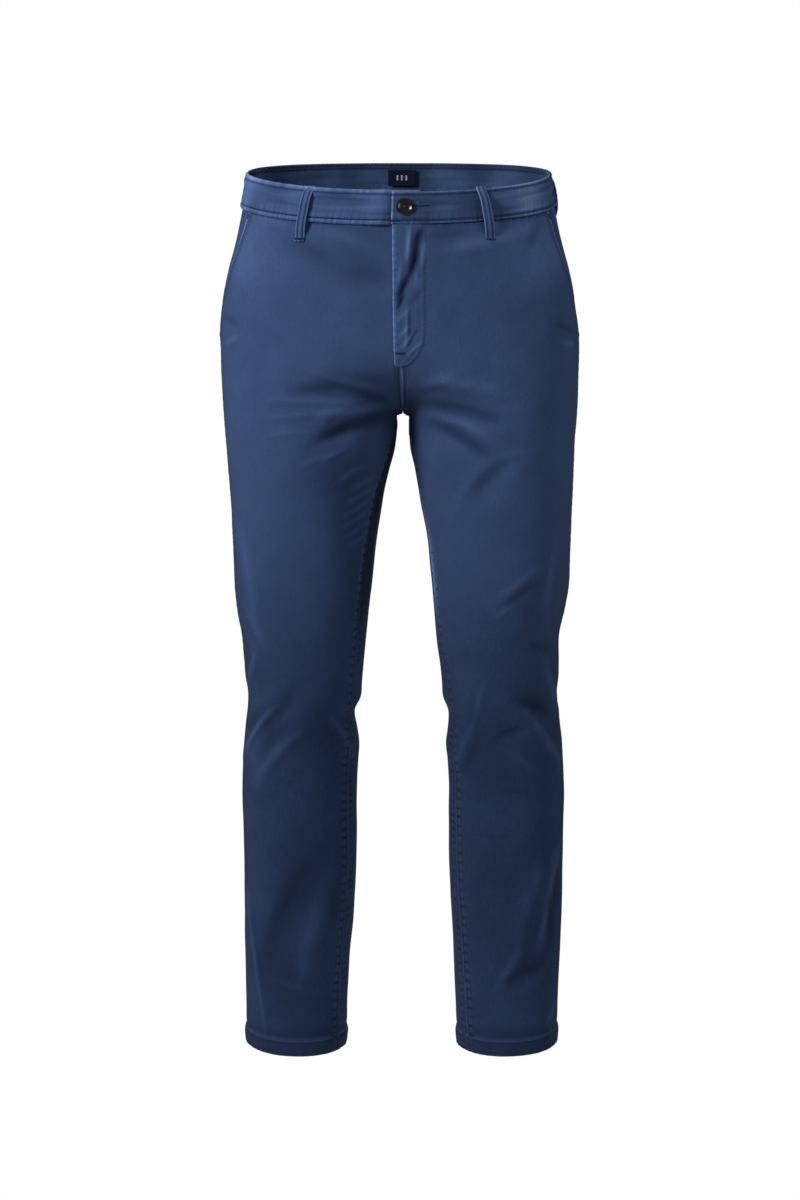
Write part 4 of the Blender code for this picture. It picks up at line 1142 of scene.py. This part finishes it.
def leant(loop, lean):
    """Leans a loop sideways at its top end and keeps it as far off the band as it was."""
    points = loop.points.reshape(-1, 3)
    before, _ = heights_over_base(points)
    foot = points[:, 2].min()
    share = (points[:, 2] - foot) / (points[:, 2].max() - foot)
    points = points + np.stack([lean * share, 0 * share, (points[:, 2] - foot) * (LOOP_REACH - 1)], axis=1)
    after, normals = heights_over_base(points)
    short = (before - after).reshape(loop.top.shape).mean(axis=1)
    window = np.ones(2 * AVERAGED + 1) / (2 * AVERAGED + 1)
    smooth = np.convolve(np.pad(short, AVERAGED, mode="edge"), window, mode="valid")
    normals = unit(normals.reshape(loop.points.shape).mean(axis=(0, 1)))
    loop.points = points.reshape(loop.points.shape) + normals * smooth[:, None, None]
    loop.normals = normals_of(loop.points)


for number, node in enumerate(LOOPS):
    cloth = Cloth(node, 2, 1.0)
    if node in LOOP_LEANS:
        leant(cloth, LOOP_LEANS[node])
    cloth.lift = 0.35 * bump(cloth.start, 6, 3) + pucker(cloth.start, cloth.top, 6.3, 40, 0.15, number)
    cloth.lift += folded_edge(cloth.start, 0.8, 1.3) + folded_edge(cloth.end, 0.8, 1.3)
    cloth.wear = np.full(cloth.top.shape, PALE_THIGH + 0.02) + 0.14 * np.exp(-cloth.top / 6)
    for edge in SIDES:
        away = getattr(cloth, edge)
        cloth.lift -= 0.45 * bump(away, 2.6, 0.8)
        cloth.wear += 0.40 * np.exp(-away / 1.1) - 0.30 * bump(away, 2.7, 0.9)
    cloth.wear += 0.12 * bump(cloth.start, 6, 1.2)
    cloth.moved()
    lines = [inset(cloth, edge, 2.6) for edge in SIDES]
    rows = stitched("stitches_" + node, lines, pitch=2.4, length=1.9, width=0.5, height=0.3)
    bars = stitched("bartacks_" + node, [inset(cloth, "bottom", away) for away in (2.4, 3.6)],
                    pitch=0.6, length=1.9, width=0.55, height=0.5, cross=True, material=THREAD_DARK)
    cloth_object(cloth, 1.3, TWILL)

# %% [markdown]
# The buttonhole is a slit with dense stitches along both sides and a bar at one end. The
# button covers the other end.

# %% The buttonhole
HOLE_START, HOLE_END, HOLE_DROP = 8.0, 37.0, 17.2


def on_band(x, drop):
    """The point and direction on the buttonhole side of the band, this far below its top edge."""
    band = bands["waistband_front_left"]
    rows = np.abs(band.top - drop).argmin(axis=0)
    j = np.abs(band.points[rows, np.arange(len(rows)), 0] - x).argmin()
    return band.points[rows[j], j], band.normals[rows[j], j]


def hole_line(places):
    """The line through places on the band, each an x and a drop."""
    found = [on_band(*place) for place in places]
    return Line(np.array([p for p, _ in found]), np.array([n for _, n in found]))


hole_xs = np.arange(HOLE_START, HOLE_END, 1.0)
hole_edges = [hole_line([(x, HOLE_DROP + d) for x in hole_xs]) for d in (-2.0, 2.0)]
hole_middle = hole_line([(x, HOLE_DROP) for x in hole_xs[:-1]])
hole_end = hole_line([(HOLE_END, HOLE_DROP + d) for d in np.arange(-3.0, 3.1, 0.5)])
seams["waistband_front_left"] += [
    stitched("buttonhole_stitches", hole_edges, pitch=0.75, length=2.0, width=0.7, height=0.5, cross=True),
    # the slit is a dark strip of painted shadow in the opening
    stitched("buttonhole_slit", [hole_middle], pitch=1.6, length=2.8, width=1.9, height=0.35, raised=0.1,
             material=SLIT_SHADOW),
    stitched("buttonhole_bar", [hole_end], pitch=0.6, length=2.2, width=0.6, height=0.6, cross=True),
]
for node, cloth in bands.items():
    face = node.replace("waistband_", "")
    cloth_object(cloth, BAND_CLOTH, TWILL, SHADED_WRONG_SIDE)
for node, cloth in panels.items():
    cloth_object(cloth, PANEL_CLOTH, TWILL)

# %% [markdown]
# The label inside the back of the band is a dense satin weave in a very dark blue. It carries
# only a plain row of pale bars.

# %% The label
LABEL_HEIGHT = 21.5
MARK_LOW, MARK_HIGH = -8.0, -0.5        # heights of the pale marks
LABEL = twill_material("woven_satin_label", ((0.0, "#070a14"), (0.5, "#0e1526"), (1.0, "#1c2740")), 0.8, 90.0)
label = Cloth("woven_label", 6, 1.2, inward=True)
kept = label.top.mean(axis=1) < LABEL_HEIGHT
for name in ("points", "normals", "top", "bottom", "start", "end"):
    setattr(label, name, getattr(label, name)[kept])
label.lift = folded_edge(np.minimum(label.start, label.end), 0.4, 1.2)
label.wear = np.full(label.top.shape, 0.45)
label.moved()
MARK = new_material("pale_woven_thread", 0.7, 0.2, "#aab4c4")
mark_rows = [inset(label, "start", away, MARK_LOW, MARK_HIGH) for away in (12, 17.5, 23)]
marks = stitched("label_marks", mark_rows, pitch=0.8, length=3.2, width=0.9, height=0.25, cross=True,
                 material=MARK)
cloth_object(label, 0.7, LABEL)

# %% [markdown]
# The button is turned from dark horn-like resin and polished: nearly black, with soft brown
# clouds and a clear gloss. Its solid already has the true rim, dish and holes, so only its
# finish and the crossed thread in the holes are new.

# %% The button
BUTTON_DISH = 1.0       # how deep its middle lies behind its rim
HOLE_AWAY = 2.1         # its holes, from its middle across and up
HORN = new_material("polished_horn_resin", 0.2, 0.5)
tree = HORN.node_tree
spot = add(tree, "ShaderNodeTexCoord").outputs["Object"]
clouds = ramped(tree, noise(tree, spot, 150.0, 3.0, Distortion=1.2), ((0.42, "#070607"), (0.74, "#221918")))
tree.links.new(clouds, tree.nodes["Principled BSDF"].inputs["Base Color"])
button = NODES["waist_button"]
button.data.materials.clear()
button.data.materials.append(HORN)
low, high = (Vector(corner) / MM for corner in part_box("waist_button"))
centre = (low + high) / 2
face = Vector((centre.x, low.y + BUTTON_DISH, centre.z))
reaches = [Vector((HOLE_AWAY, 0, up)) for up in (HOLE_AWAY, -HOLE_AWAY)]
cross = [Line(np.array([face - reach, face + reach]), np.array([(0.0, -1.0, 0.0)] * 2)) for reach in reaches]
BROWN = new_material("brown_button_thread", 0.6, 0.4, "#4a3a30")
crossed = stitched("button_thread", cross, pitch=5.9, length=5.9, width=1.0, height=0.5, material=BROWN)
print("button", [round(v, 1) for v in high - low], "mm at", [round(v, 1) for v in centre])

# %% [markdown]
# Last come a pale floor, soft studio light and the camera. A strong light stands high on the
# left in front, weaker and wider ones stand on the right and behind, and a white surrounding
# fills the shadows.

# %% Studio
def area_light(name, place, aim, size, power):
    lamp = bpy.data.lights.new(name, "AREA")
    lamp.shape, lamp.size, lamp.size_y, lamp.energy = "RECTANGLE", *size, power
    thing = linked(name, lamp)
    thing.location = place
    thing.rotation_euler = (Vector(aim) - Vector(place)).to_track_quat("-Z", "Y").to_euler()


area_light("key", (-2.6, -1.9, 1.3), (0, 0, -0.35), (0.9, 0.9), 120)
area_light("fill", (2.6, -1.6, 0.1), (0, 0, -0.6), (1.4, 1.8), 22)
area_light("back", (0.4, 2.6, 1.2), (0, 0, -0.4), (1.8, 1.4), 25)

WHITE = (1, 1, 1, 1)
world = bpy.data.worlds.new("white studio")
bpy.context.scene.world = world
world.use_nodes = True
sky = world.node_tree
background = sky.nodes["Background"]
set_values(background, {"Color": WHITE, "Strength": 0.22})
seen = add(sky, "ShaderNodeBackground", {}, {"Color": WHITE, "Strength": 1.0})
rays = add(sky, "ShaderNodeLightPath")
mixed = add(sky, "ShaderNodeMixShader", {}, {},
            {0: rays.outputs["Is Camera Ray"], 1: background.outputs[0], 2: seen.outputs[0]})
sky.links.new(mixed.outputs[0], sky.nodes["World Output"].inputs["Surface"])

FLOOR_Z = -1.62
disc = bmesh.new()
bmesh.ops.create_circle(disc, cap_ends=True, segments=96, radius=0.95)
bmesh.ops.translate(disc, verts=disc.verts, vec=(0, 0, FLOOR_Z))
floor = linked("pale_floor", mesh_of(disc, "pale_floor"))
floor.data.materials.append(new_material("pale_floor_paint", 0.9, 0.2, "#f2f2f2"))

# %% Camera
LENS, SENSOR = 102.26, 36.0
AIM = (0, 0, -0.5245)
view = bpy.data.cameras.new("camera")
view.lens, view.sensor_width = LENS, SENSOR
camera = linked("camera", view)
camera.location = (0, -4.2, -0.05)
camera.rotation_euler = (Vector(AIM) - camera.location).to_track_quat("-Z", "Y").to_euler()
bpy.context.scene.camera = camera
bpy.context.scene.view_settings.view_transform = "Standard"
bpy.context.scene.view_settings.look = "None"
